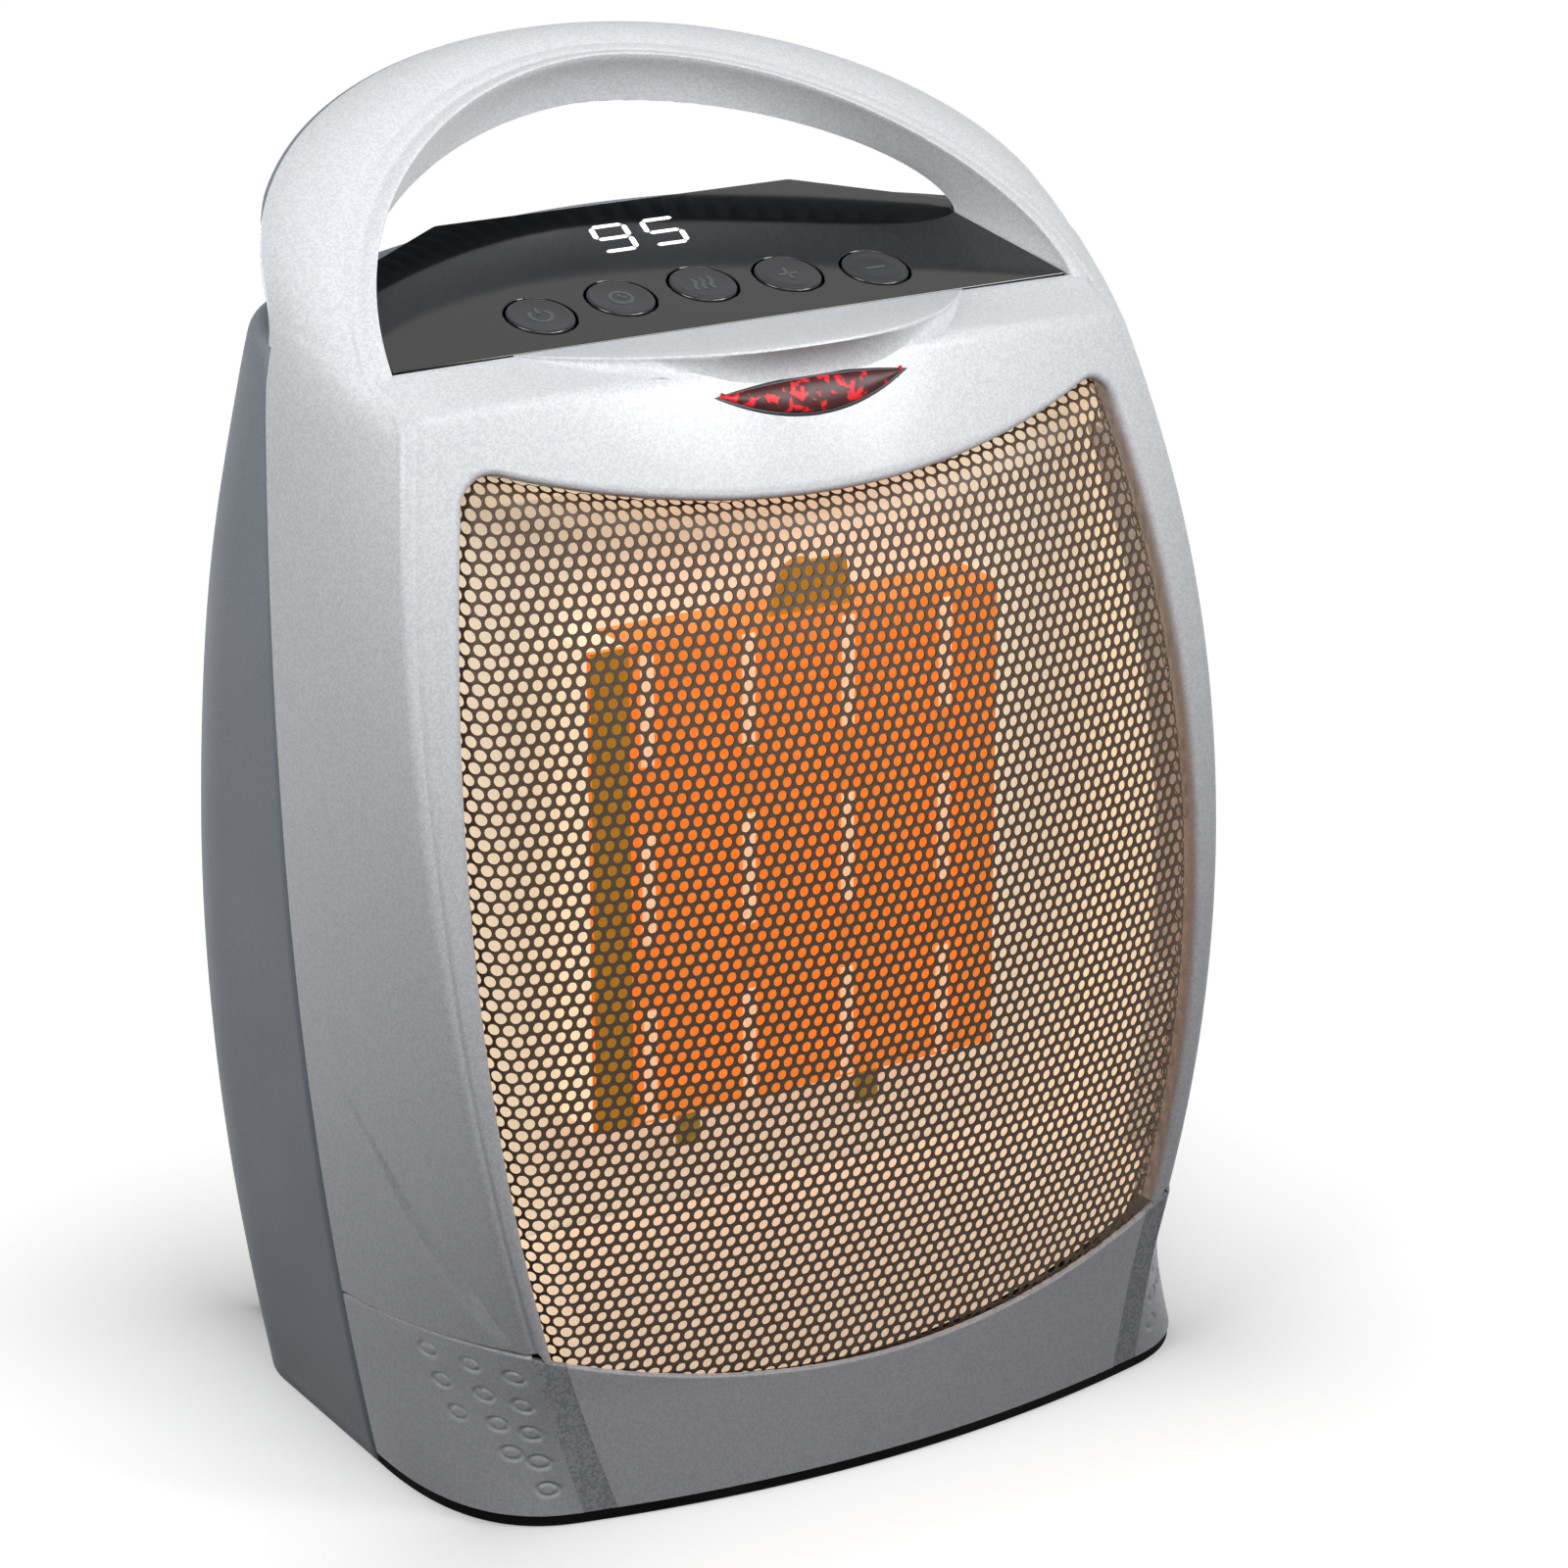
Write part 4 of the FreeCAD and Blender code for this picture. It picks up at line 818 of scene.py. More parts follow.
    def handle(self, skin: Skin) -> None:
        """Raised strip along the handle's nose, its inner face, and the closing face behind it.

        Args:
            skin: what the surface is added to.
        """
        angle = np.radians(np.linspace(-90.0, 90.0, self.arch_stations))
        outer, _, valley, nose = self.arch_paths()
        inner = INNER.points(angle)
        lift = unit(nose - (outer + inner) / 2.0)
        bead = curve_through(valley, mix(valley, nose, self.bead_place) + lift * self.bead_lift, nose, 7)
        edge = nose + unit(inner - nose) * self.edge_round
        turn = curve_through(nose, nose + unit(nose - valley) * 0.5, edge, 5)
        belly = (edge + inner) / 2.0 + np.array([0.0, 0.6, 0.6])
        under = curve_through(edge, belly, inner, self.inner_columns)
        grid = np.concatenate([bead, turn[:, 1:], under[:, 1:]], axis=1)
        sunk = np.array(self.foot_sunk)
        skin.add_grid(np.concatenate([grid[:1] + sunk, grid, grid[-1:] + sunk]))
        skin.add_grid(mix(outer[:, None], inner[:, None], np.linspace(0.0, 1.0, 7)[None, :, None]))

    def window_outline(self) -> tuple[Array, Array]:
        """Left half of the window's outline in x and z, with its corner rounded by a quadratic curve.

        Returns:
            The side with half of the corner, and the other half with the top, each of shape (n, 2).
        """
        z = np.linspace(30.0, CURVES.window_top[1] - self.window_round, 80)
        low = np.interp(0.0, z - CURVES.seam_z(CURVES.window_half(z)) - self.seam_gap, z)
        z = np.linspace(low, CURVES.window_top[1] - self.window_round, 80)
        side = np.stack([-CURVES.window_half(z), z], 1)
        x = np.linspace(-CURVES.window_top[2] + self.window_round, 0.0, 60)
        top = np.stack([x, CURVES.window_top_z(x)], 1)
        corner = np.array([[-CURVES.window_top[2], CURVES.window_top[1]]])
        turn = curve_through(side[-1:], corner, top[:1], 17)[0]
        return np.concatenate([side, turn[1:9]]), np.concatenate([turn[8:-1], top])

    def frame(self, skin: Skin) -> None:
        """Window frame: from the rim's valley and the bezel in to a filleted edge and a reveal.

        Args:
            skin: what the surface is added to.
        """
        _, _, start = self.side_paths()
        rim = start[:len(self.wall_heights())]
        side, top = self.window_outline()
        half = self.bezel_columns // 2 + 1
        reach = np.linspace(rim[-1, 0], 0.0, half)[1:]
        outer = np.concatenate([rim[:, [0, 2]], np.stack([reach, np.full(half - 1, self.frame_top_z)], 1)])
        climb = (rim[:, 2] - rim[0, 2]) / (rim[-1, 2] - rim[0, 2])
        along_top = spread_along(top, np.linspace(0.0, 1.0, half))
        inner = np.concatenate([spread_along(side, climb), along_top[1:]])
        run = unit(np.gradient(inner, axis=0))
        inward = np.stack([run[:, 1], -run[:, 0]], 1)
        inward[-1] = (0.0, -1.0)
        lip = inner - inward * self.frame_fillet
        across = np.concatenate([[0.0], np.linspace(0.12, 1.0, 9)])[None, :, None]
        flat = mix(outer[:, None], lip[:, None], across)
        face = np.stack([flat[..., 0], CURVES.front_y(flat[..., 0], flat[..., 1]), flat[..., 1]], -1)
        face[:len(rim), 0] = rim
        turn = np.linspace(0.0, math.pi / 2.0, 7)[None, 1:, None]
        ring = lip[:, None] + inward[:, None] * self.frame_fillet * np.sin(turn)
        ring_y = face[:, -1, 1][:, None] + self.frame_fillet * (1.0 - np.cos(turn[..., 0]))
        fillet = np.stack([ring[..., 0], ring_y, ring[..., 1]], -1)
        sink = fillet[:, -1:] + np.array([0.0, self.reveal, 0.0])
        half_grid = np.concatenate([face, fillet, sink], axis=1)
        skin.add_grid(half_grid)
        skin.add_grid(half_grid * FLIP)

    def bend_z(self, x: Array) -> Array:
        """Height of the bend line between front face and slope, a parabola over the width."""
        return self.bend_foot_z + self.bend_rise * (1.0 - (x / self.bend_half) ** 2)

    def slope_z(self, x: Array, y: Array) -> Array:
        """Height of the slope, a straight line from the bend line to the panel's front edge.

        Args:
            x: places across.
            y: depths.

        Returns:
            Heights at x and y.
        """
        bend_z = self.bend_z(x)
        bend_y = CURVES.front_y(x, bend_z)
        return mix(bend_z, CURVES.panel_front_z, (y - bend_y) / (CURVES.panel_front_y - bend_y))

    def bezel(self, skin: Skin) -> None:
        """Bezel: front face up to the bend line, slope to the panel's edge, a rounded lip and a step down.

        Args:
            skin: what the surface is added to.
        """
        _, _, start = self.side_paths()
        ends = start[len(self.wall_heights()) - 1:]
        share = np.linspace(-1.0, 1.0, self.bezel_columns)
        x_all = np.abs(ends[:, 0])[:, None] * share[None]
        rows = np.linspace(0.0, 1.0, self.front_rows)[:, None]
        x = x_all[:self.front_rows]
        z = mix(self.frame_top_z, self.bend_z(x), rows)
        face = np.stack([x, CURVES.front_y(x, z), z], -1)
        x = x_all[self.front_rows:]
        rows = np.linspace(0.0, 1.0, self.slope_rows)[1:, None]
        y = mix(face[-1, :, 1], CURVES.panel_front_y - self.bezel_lip, rows)
        base = np.concatenate([face, np.stack([x, y, self.slope_z(x, y)], -1)])
        base[1:-1] = (base[:-2] + 2.0 * base[1:-1] + base[2:]) / 4.0
        base[:, 0], base[:, -1] = ends, ends * FLIP
        edge = base[-1] + np.array([0.0, self.bezel_lip, 0.0])
        lip = curve_through(base[-1], edge, edge + np.array([0.0, 0.0, -self.bezel_lip]), 4)[:, 1:]
        step = edge[:, None] + np.array([0.0, 0.0, -self.panel_step])
        upper = np.concatenate([lip, step], axis=1).transpose(1, 0, 2)
        skin.add_grid(np.concatenate([base, upper]))

    def brow(self, skin: Skin) -> None:
        """Visor over the lens: a level crescent with a hollow wall below it.

        The edge is a power curve in plan. The wall's foot lies on the slope near the tips and comes down
        the front face in the middle; between edge and foot the wall is drawn inwards.

        Args:
            skin: what the surface is added to.
        """
        share = np.linspace(-1.0, 1.0, self.brow_columns)
        x, near = share * self.brow_half, np.abs(share)
        inside = 1.0 - near ** 2
        tip_y = CURVES.panel_front_y - 0.2
        edge_y = mix(self.brow_front_y, tip_y, near ** self.brow_power)
        edge = np.stack([x, edge_y, CURVES.panel_front_z + self.brow_lift * inside], 1)
        bend_z = self.bend_z(x)
        run = np.clip((near - self.brow_face_share) / self.brow_blend, 0.0, 1.0)
        face_z = mix(self.brow_foot_z, bend_z, run * run * (3.0 - 2.0 * run))
        slope_y = edge_y - self.brow_run_out * np.clip((1.0 - near) / 0.4, 0.0, 1.0)
        slope_y = np.maximum(slope_y, CURVES.front_y(x, bend_z))
        on_slope = np.stack([x, slope_y, self.slope_z(x, slope_y)], 1)
        on_face = np.stack([x, CURVES.front_y(x, face_z), face_z], 1)
        tips = near > self.brow_face_share + self.brow_blend
        foot = np.where(tips[:, None], on_slope, on_face) + np.array([0.0, 0.1, -0.1])
        front = edge + np.array([0.0, 0.0, -0.5]) * np.sqrt(inside)[:, None]
        top = edge + np.array([0.0, 0.8, 0.0]) * np.sqrt(inside)[:, None]
        hollow = (front + foot) / 2.0 + np.array([0.0, self.brow_hollow, -0.4]) * np.sqrt(inside)[:, None]
        wall = curve_through(foot, hollow, front, 12)
        roll = curve_through(front, edge, top, 5)[:, 1:]
        rear = np.full((len(x), 3), (0.0, CURVES.panel_front_y, CURVES.panel_front_z))
        rear[:, 0] = x
        level = mix(top[:, None], rear[:, None], np.linspace(0.0, 1.0, 6)[None, 1:, None])
        drop = rear[:, None] + np.array([0.0, 0.0, -self.panel_step])
        skin.add_grid(np.concatenate([wall, roll, level, drop], axis=1))

    def build(self) -> None:
        """Make the walls with the handle, and the face with its brow."""
        walls = Skin()
        self.band(walls)
        self.handle(walls)
        shell = walls.piece("silver_walls_and_handle", SILVER)
        settle(shell, Body.HOUSING, "silver_shell", "front_shell")
        face = Skin()
        self.frame(face)
        self.bezel(face)
        frame = face.piece("silver_window_frame", SILVER, toward=(0.0, -1.0, 0.3))
        settle(frame, Body.HOUSING, "silver_shell")
        visor = Skin()
        self.brow(visor)
        brow = visor.piece("silver_lens_brow", SILVER, toward=(0.0, -0.5, 0.8))
        settle(brow, Body.HOUSING, "silver_shell")


@dataclass
class HandleGrip:
    """Dark back of the handle: a bulged strip with finger ribs along its underside."""

    reach_deg: float = 68.0
    stations: int = 320
    columns: int = 30
    bulge: float = 4.0
    rib_pitch: float = 5.0
    rib_height: float = 1.3
    rib_flatness: float = 1.8
    rib_from: float = 0.42
    seat_gap: float = 0.05
    ease_deg: float = 6.0

    def build(self) -> None:
        """Sweep the section, a bulge from the outer to the inner outline, and ripple its lower half."""
        angle = np.radians(np.linspace(-self.reach_deg, self.reach_deg, self.stations))
        nose, outer, inner = (line.points(angle) for line in (NOSE, OUTER, INNER))
        back = unit((outer + inner) / 2.0 - nose)
        start, end = outer + back * self.seat_gap, inner + back * self.seat_gap
        turn = np.linspace(0.0, math.pi, self.columns)
        share = ((1.0 - np.cos(turn)) / 2.0)[None, :, None]
        ease = np.clip((self.reach_deg - np.abs(np.degrees(angle))) / self.ease_deg, 0.05, 1.0) ** 0.5
        lift = (np.sin(turn) ** 0.7)[None] * self.bulge * ease[:, None]
        length = run_length(inner)
        phase = (length - length[-1] / 2.0) * 2.0 * math.pi / self.rib_pitch
        wave = np.clip(np.cos(phase) * self.rib_flatness, -1.0, 1.0)
        down = share[0, :, 0]
        lower = np.clip((down - self.rib_from) / 0.2, 0.0, 1.0) * np.clip((1.0 - down) / 0.08, 0.0, 1.0)
        ribs = self.rib_height * wave[:, None] * lower[None] * ease[:, None]
        skin_points = mix(start[:, None], end[:, None], share) + back[:, None] * (lift + ribs)[..., None]
        under = unit(inner - outer)[:, None] * (ribs * 0.8 * share[..., 0])[..., None]
        grid = skin_points + under
        seat = mix(start[:, None], end[:, None], np.linspace(0.0, 1.0, 5)[None, :, None])
        caps = [np.stack([grid[row], mix(start[row], end[row], share[0])]) for row in (0, -1)]
        grip = Skin.of(grid, seat, *caps).piece("handle_finger_grip", BLUE_GREY)
        settle(grip, Body.HOUSING, "grey_shell", "handle_grip")


@dataclass
class RearShell:
    """Blue-grey back: rounded side edges, a bowed back with air slots, and a sloping roof under the panel."""

    heights: tuple[float, ...] = (0.0, 20.0, 40.0, 60.0, 92.0, 130.0, 167.0, 197.0, 210.0, 224.0, 240.0)
    backs: tuple[float, ...] = (57.0, 61.8, 65.8, 68.2, 69.3, 67.0, 61.2, 51.6, 45.5, 37.0, 26.0)
    rounds: tuple[float, ...] = (23.0, 26.5, 29.0, 30.0, 30.0, 30.0, 30.0, 28.0, 23.0, 15.0, 9.0)
    back_radius: float = 140.0
    gap: float = 0.3
    foot_z: float = 0.5
    slot_count: int = 9
    slot_pitch: float = 11.0
    slot_height: float = 5.0
    slot_half: float = 46.0
    slot_z: float = 111.0
    roof_drop: float = 3.2
    roof_round: float = 3.0
    wall_mm: float = 2.4
    side_columns: int = 14
    round_columns: int = 14
    back_columns: int = 121
    slot_field: float = 60.0
    slot_from_y: float = 40.0
    roof_centre_y: float = 5.0
    roof_share: float = 0.45
    roof_guess_z: float = 215.0
    roof_rounds: int = 12

    def smooth(self, z: Array, values: tuple[float, ...]) -> Array:
        """Smooth curve through the stations: slopes from neighbours, cubic between them.

        Args:
            z: heights.
            values: one value for each station.

        Returns:
            Values at z.
        """
        knots, heights = np.array(values), np.array(self.heights)
        slopes = np.gradient(knots, heights)
        index = np.clip(np.searchsorted(heights, z) - 1, 0, len(heights) - 2)
        step = heights[index + 1] - heights[index]
        t = (z - heights[index]) / step
        first = knots[index] * (1 + 2 * t) * (1 - t) ** 2 + knots[index + 1] * t * t * (3 - 2 * t)
        return first + step * (slopes[index] * t * (1 - t) ** 2 + slopes[index + 1] * t * t * (t - 1))

    def section(self, z: Array) -> Array:
        """Plan outline at heights z, right to left: straight side, rounded edge, bowed back.

        Args:
            z: heights of shape (n, m), one for each point of each outline.

        Returns:
            Points of shape (n, m, 3).
        """
        half = CURVES.split_half(z)
        back = self.smooth(z, self.backs)
        radius = self.smooth(z, self.rounds)
        centre_x = half - radius
        lean = np.arctan(centre_x / self.back_radius)
        join_x = centre_x + radius * np.sin(lean)
        centre_y = back - join_x ** 2 / (2.0 * self.back_radius) - radius * np.cos(lean)
        side = np.linspace(0.0, 1.0, self.side_columns)[:-1]
        turn = np.linspace(0.0, 1.0, self.round_columns)[:-1]
        flat = np.linspace(1.0, -1.0, self.back_columns)
        n, r = self.side_columns - 1, self.round_columns - 1
        x, y = np.empty_like(z), np.empty_like(z)
        x[:, :n] = half[:, :n]
        y[:, :n] = mix(CURVES.split_y(z[:, :n]) + self.gap, centre_y[:, :n], side)
        arc = (math.pi / 2.0 - lean[:, n:n + r]) * turn
        x[:, n:n + r] = centre_x[:, n:n + r] + radius[:, n:n + r] * np.cos(arc)
        y[:, n:n + r] = centre_y[:, n:n + r] + radius[:, n:n + r] * np.sin(arc)
        middle = slice(n + r, n + r + self.back_columns)
        x[:, middle] = join_x[:, middle] * flat
        y[:, middle] = back[:, middle] - x[:, middle] ** 2 / (2.0 * self.back_radius)
        left = slice(n + r + self.back_columns, None)
        x[:, left] = -x[:, :n + r][:, ::-1]
        y[:, left] = y[:, :n + r][:, ::-1]
        return np.stack([x, y, z], -1)

    def columns(self) -> int:
        """Points of one outline."""
        return 2 * (self.side_columns + self.round_columns - 2) + self.back_columns

    def roof_z(self, y: Array) -> Array:
        """Height of the roof plane, parallel to the panel and below it."""
        slope = math.tan(math.radians(CURVES.panel_tilt))
        return CURVES.panel_front_z + (y - CURVES.panel_front_y) * slope - self.roof_drop

    def build(self) -> None:
        """Wall rows follow the slots and end at the roof; the roof closes in under the panel.

        Where wall and roof meet is found by going from one to the other until the height settles.
        """
        centres = self.slot_z + (np.arange(self.slot_count) - (self.slot_count - 1) / 2.0) * self.slot_pitch
        edges = np.sort(np.concatenate([centres - self.slot_height / 2.0, centres + self.slot_height / 2.0]))
        low = np.linspace(self.foot_z, edges[0], 14)[:-1]
        share = np.linspace(0.0, 1.0, 16)[1:]
        top = np.full(self.columns(), self.roof_guess_z)
        for _ in range(self.roof_rounds):
            top = self.roof_z(self.section(top[None])[0, :, 1])
        rows = np.concatenate([low, edges])
        wall_z = np.repeat(rows[:, None], self.columns(), axis=1)
        upper = edges[-1] + (top[None] - self.roof_round - edges[-1]) * share[:, None]
        wall = self.section(np.concatenate([wall_z, upper]))
        crest = self.section(top[None])[0]
        centre = np.array([0.0, self.roof_centre_y, self.roof_z(np.array(self.roof_centre_y))])
        inner = mix(crest, centre, (self.roof_round / np.linalg.norm(crest - centre, axis=1))[:, None])
        rounding = curve_through(wall[-1], crest, inner, 6)[:, 1:].transpose(1, 0, 2)
        under = mix(inner, centre, self.roof_share)
        grid = np.concatenate([wall, rounding, under[None]])
        middle = (grid[:-1, :-1] + grid[1:, 1:]) / 2.0
        slot = (np.round((middle[..., 2] - centres[0]) / self.slot_pitch)).clip(0, self.slot_count - 1)
        slot_z = centres[0] + slot * self.slot_pitch
        height = (slot_z - self.slot_z) / self.slot_field
        reach = self.slot_half * np.sqrt(np.maximum(1.0 - height ** 2, 0.1))
        open_air = np.abs(middle[..., 2] - slot_z) < self.slot_height / 2.0
        open_air &= (np.abs(middle[..., 0]) < reach) & (middle[..., 1] > self.slot_from_y)
        skin = Skin()
        skin.add_grid(grid, keep=~open_air)
        shell = skin.piece("blue_grey_rear_shell", BLUE_GREY, wall_mm=self.wall_mm)
        settle(shell, Body.HOUSING, "grey_shell", "rear_shell")


@dataclass
class BaseCover:
    """Silver apron below the seam: rounded corners with ringed oval dimples and a coarse facet strip."""

    foot_z: float = 2.6
    flare_out: float = 3.6
    flare_top_z: float = 26.0
    face_round: float = 0.6
    rim_inset: float = 0.3
    rim_round: float = 0.4
    rim_under: float = 8.0
    rim_levels: tuple[float, float] = (0.6, 0.2)
    bulge_lean: float = 0.052
    bulge_flare: float = 0.9
    corner_flare: float = 0.5
    seam_shade_shift: tuple[float, float, float] = (1.2, 0.4, 0.0)
    seam_shade_reach: float = 3.0
    seam_gap: float = 0.2
    lip_round: float = 0.5
    edge_round: float = 1.9
    ledge: float = 0.7
    flange: float = 2.0
    strip_width: float = 6.4
    strip_depth: float = 0.12
    rear_columns: int = 14
    fine_from: float = 0.28
    fine_columns: int = 170
    crown_columns: int = 9
    strip_shares: tuple[float, ...] = (0.0, 0.06, 0.3, 0.5, 0.7, 0.94, 1.0)
    strip_sunk: tuple[float, ...] = (0.0, 0.6, 0.8, 0.9, 1.0, 1.0, 0.0)
    front_columns: int = 60
    rows: int = 170
    dimple: tuple[float, float] = (1.95, 1.2)
    dimple_depth: float = 0.45
    dimple_edge: float = 0.3
    dimple_spots: tuple[tuple[float, float], ...] = (
        (-40.0, 31.1), (-48.9, 30.6), (-56.9, 30.0), (-42.5, 25.4), (-50.7, 24.8), (-57.6, 24.0),
        (-45.7, 19.8), (-52.9, 19.3), (-58.9, 18.4), (-55.3, 14.0), (-60.1, 12.8), (-61.3, 7.5),
    )

    def flare(self, z: Array) -> Array:
        """How far the apron's foot flares out, growing as a power of the depth below its start."""
        return self.flare_out * np.maximum(1.0 - z / self.flare_top_z, 0.0) ** 1.5

    def corner_half(self, z: Array) -> Array:
        """Half width of the apron at its crease: the housing's, plus a share of the flare."""
        return CURVES.crease_half(z) + self.corner_flare * self.flare(z)

    def face_y(self, x: Array, z: Array) -> Array:
        """Depth of the apron's front face: the housing's front face plus the flare."""
        return CURVES.front_y(x, z) - self.flare(z)

    def wall(self, z: Array) -> tuple[Array, Array, Array]:
        """Left wall from the split to the shoulder of its crease, with a ring groove around each dimple.

        A groove's depth falls off as a bell curve with the distance from the dimple's oval.

        Args:
            z: heights of shape (rows,).

        Returns:
            Wall points of shape (rows, columns, 3), and the crease and the face's first points, (rows, 3).
        """
        rear = np.stack([-CURVES.split_half(z), CURVES.split_y(z), z], 1)
        corner = self.corner_half(z)
        crease = np.stack([-corner, self.face_y(corner, z), z], 1)
        run = crease - rear
        out = unit(np.stack([run[:, 1], -run[:, 0], np.zeros(len(z))], 1))
        flare = self.flare(z)[:, None]
        middle = mix(rear, crease, 0.5 + self.bulge_lean * flare)
        middle = middle + out * 2.0 * (CURVES.wall_bulge(z)[:, None] + self.bulge_flare * flare)
        shoulder = crease + unit(middle - crease) * self.edge_round
        fine = np.linspace(self.fine_from, 1.0, self.fine_columns)
        shares = np.concatenate([np.linspace(0.0, self.fine_from, self.rear_columns)[:-1], fine])
        points = curve_through(rear, middle, shoulder, shares)
        steps = np.linalg.norm(np.diff(points, axis=1), axis=2)
        length = np.concatenate([np.zeros((len(z), 1)), np.cumsum(steps, axis=1)], axis=1)
        drop = np.zeros(length.shape)
        for y_spot, z_spot in self.dimple_spots:
            row = np.argmin(np.abs(z - z_spot))
            place = np.interp(-y_spot, -points[row, :, 1], length[row])
            place = min(place, length[row, -1] - self.dimple[0] - 2.0 * self.dimple_edge)
            gap = np.hypot((length - place) / self.dimple[0], (z[:, None] - z_spot) / self.dimple[1])
            room = (1.0 - gap) * self.dimple[1] / self.dimple_edge
            drop = np.maximum(drop, np.exp(-room ** 2))
        run = np.gradient(points, axis=1)
        normal = unit(np.stack([run[..., 1], -run[..., 0], np.zeros(length.shape)], -1))
        start = crease + np.array([self.face_round, 0.0, 0.0])
        start[:, 1] = self.face_y(start[:, 0], z)
        return points - normal * (drop * self.dimple_depth)[..., None], crease, start

    def front(self, heights: Array) -> tuple[Array, Array]:
        """Facet strip beside the crease and half of the front face up to the middle.

        Args:
            heights: levels of shape (rows,) at the crease, from the seam down to the rim.

        Returns:
            Strip points and face points, each of shape (rows, columns, 3).
        """
        top = CURVES.seam[1] - self.seam_gap - self.lip_round
        share = ((top - heights) / (top - self.foot_z))[:, None]
        inner = self.corner_half(heights) - self.face_round
        across = inner[:, None] - self.strip_width * np.array(self.strip_shares)[None]
        strip_z = mix(CURVES.seam_z(across) - self.seam_gap - self.lip_round, self.foot_z, share)
        strip_y = self.face_y(across, strip_z) + self.strip_depth * np.array(self.strip_sunk)
        strip = np.stack([-across, strip_y, strip_z], -1)
        reach = (inner - self.strip_width)[:, None] * np.linspace(1.0, 0.0, self.front_columns)[None]
        face_z = mix(CURVES.seam_z(reach) - self.seam_gap - self.lip_round, self.foot_z, share)
        face = np.stack([-reach, self.face_y(reach, face_z), face_z], -1)
        return strip, face

    def inward(self, outline: Array) -> Array:
        """Level directions square to an outline, towards the inside."""
        run = unit(np.gradient(outline, axis=0) * np.array([1.0, 1.0, 0.0]))
        return np.stack([-run[:, 1], run[:, 0], np.zeros(len(run))], 1)

    def rolled(self, grid: Array) -> Array:
        """Add a quarter-round upper lip and the ledge behind it above a grid's first row.

        Args:
            grid: points of shape (rows, columns, 3).

        Returns:
            The grid with its lip and ledge before its first row.
        """
        top = grid[0]
        inward = self.inward(top)
        turn = np.linspace(0.0, math.pi / 2.0, 6)[1:, None, None]
        rise = np.array([0.0, 0.0, self.lip_round]) * np.sin(turn)
        lip = top + inward * self.lip_round * (1.0 - np.cos(turn)) + rise
        return np.concatenate([lip[-1:] + inward * self.ledge, lip[::-1], grid])

    def rim(self, outline: Array) -> Skin:
        """Black foot rim: the apron's lower outline drawn in a little, dropped to the floor and turned under.

        Args:
            outline: points of shape (n, 3) along the left half of the apron's lower edge.

        Returns:
            The rim of both halves.
        """
        inward = self.inward(outline)
        insets = (self.rim_inset, self.rim_inset, self.rim_inset + self.rim_round, self.rim_under)
        upper, lower = self.rim_levels
        levels = (self.foot_z + 1.0, upper, lower, lower)
        plan = outline * np.array([1.0, 1.0, 0.0])
        rows = [plan + inward * inset + np.array([0.0, 0.0, level]) for inset, level in zip(insets, levels)]
        return Skin.of(np.stack(rows), np.stack(rows) * FLIP)

    def build(self) -> None:
        """Make the apron with its lip, the facet strips, a black strip of painted shade behind the seam, and
        the black rim.
        """
        heights = np.linspace(CURVES.seam[1] - self.seam_gap - self.lip_round, self.foot_z, self.rows)
        wall, crease, start = self.wall(heights)
        strip, face = self.front(heights)
        crown = curve_through(wall[:, -1], crease, start, self.crown_columns)
        flange = wall[:, :1] + np.array([self.flange, 0.0, 0.0])
        side = self.rolled(np.concatenate([flange, wall, crown[:, 1:]], axis=1))
        facet, middle = self.rolled(strip), self.rolled(face)
        cover = Skin.of(side, middle, side * FLIP, middle * FLIP).piece("silver_base_apron", SILVER)
        settle(cover, Body.HOUSING, "silver_shell", "base_cover")
        facets = Skin.of(facet, facet * FLIP)
        strips = facets.piece("apron_facet_strips", COARSE_SILVER, toward=(0.0, -1.0, 0.0))
        settle(strips, Body.HOUSING, "silver_shell")
        # painted shade: a black strip behind the seam's gap stands for the shade inside it
        seam_z = CURVES.seam[1]
        seam_shade_strip, _, _ = self.wall(np.linspace(seam_z + self.seam_shade_reach, seam_z - self.seam_shade_reach, 3))
        seam_shade_strip = seam_shade_strip + np.array(self.seam_shade_shift)
        behind = Skin.of(seam_shade_strip, seam_shade_strip * FLIP)
        settle(behind.piece("seam_painted_shade_strip", BLACK), Body.HOUSING, "black_plastic")
        outline = np.concatenate([wall[-1], crown[-1, 1:], face[-1]])
        # painted shadow: the near-black rim also stands for the contact shadow under the apron
        settle(self.rim(outline).piece("black_foot_rim_with_painted_shadow", RIM_BLACK_AND_PAINTED_SHADOW), Body.HOUSING, "black_plastic")


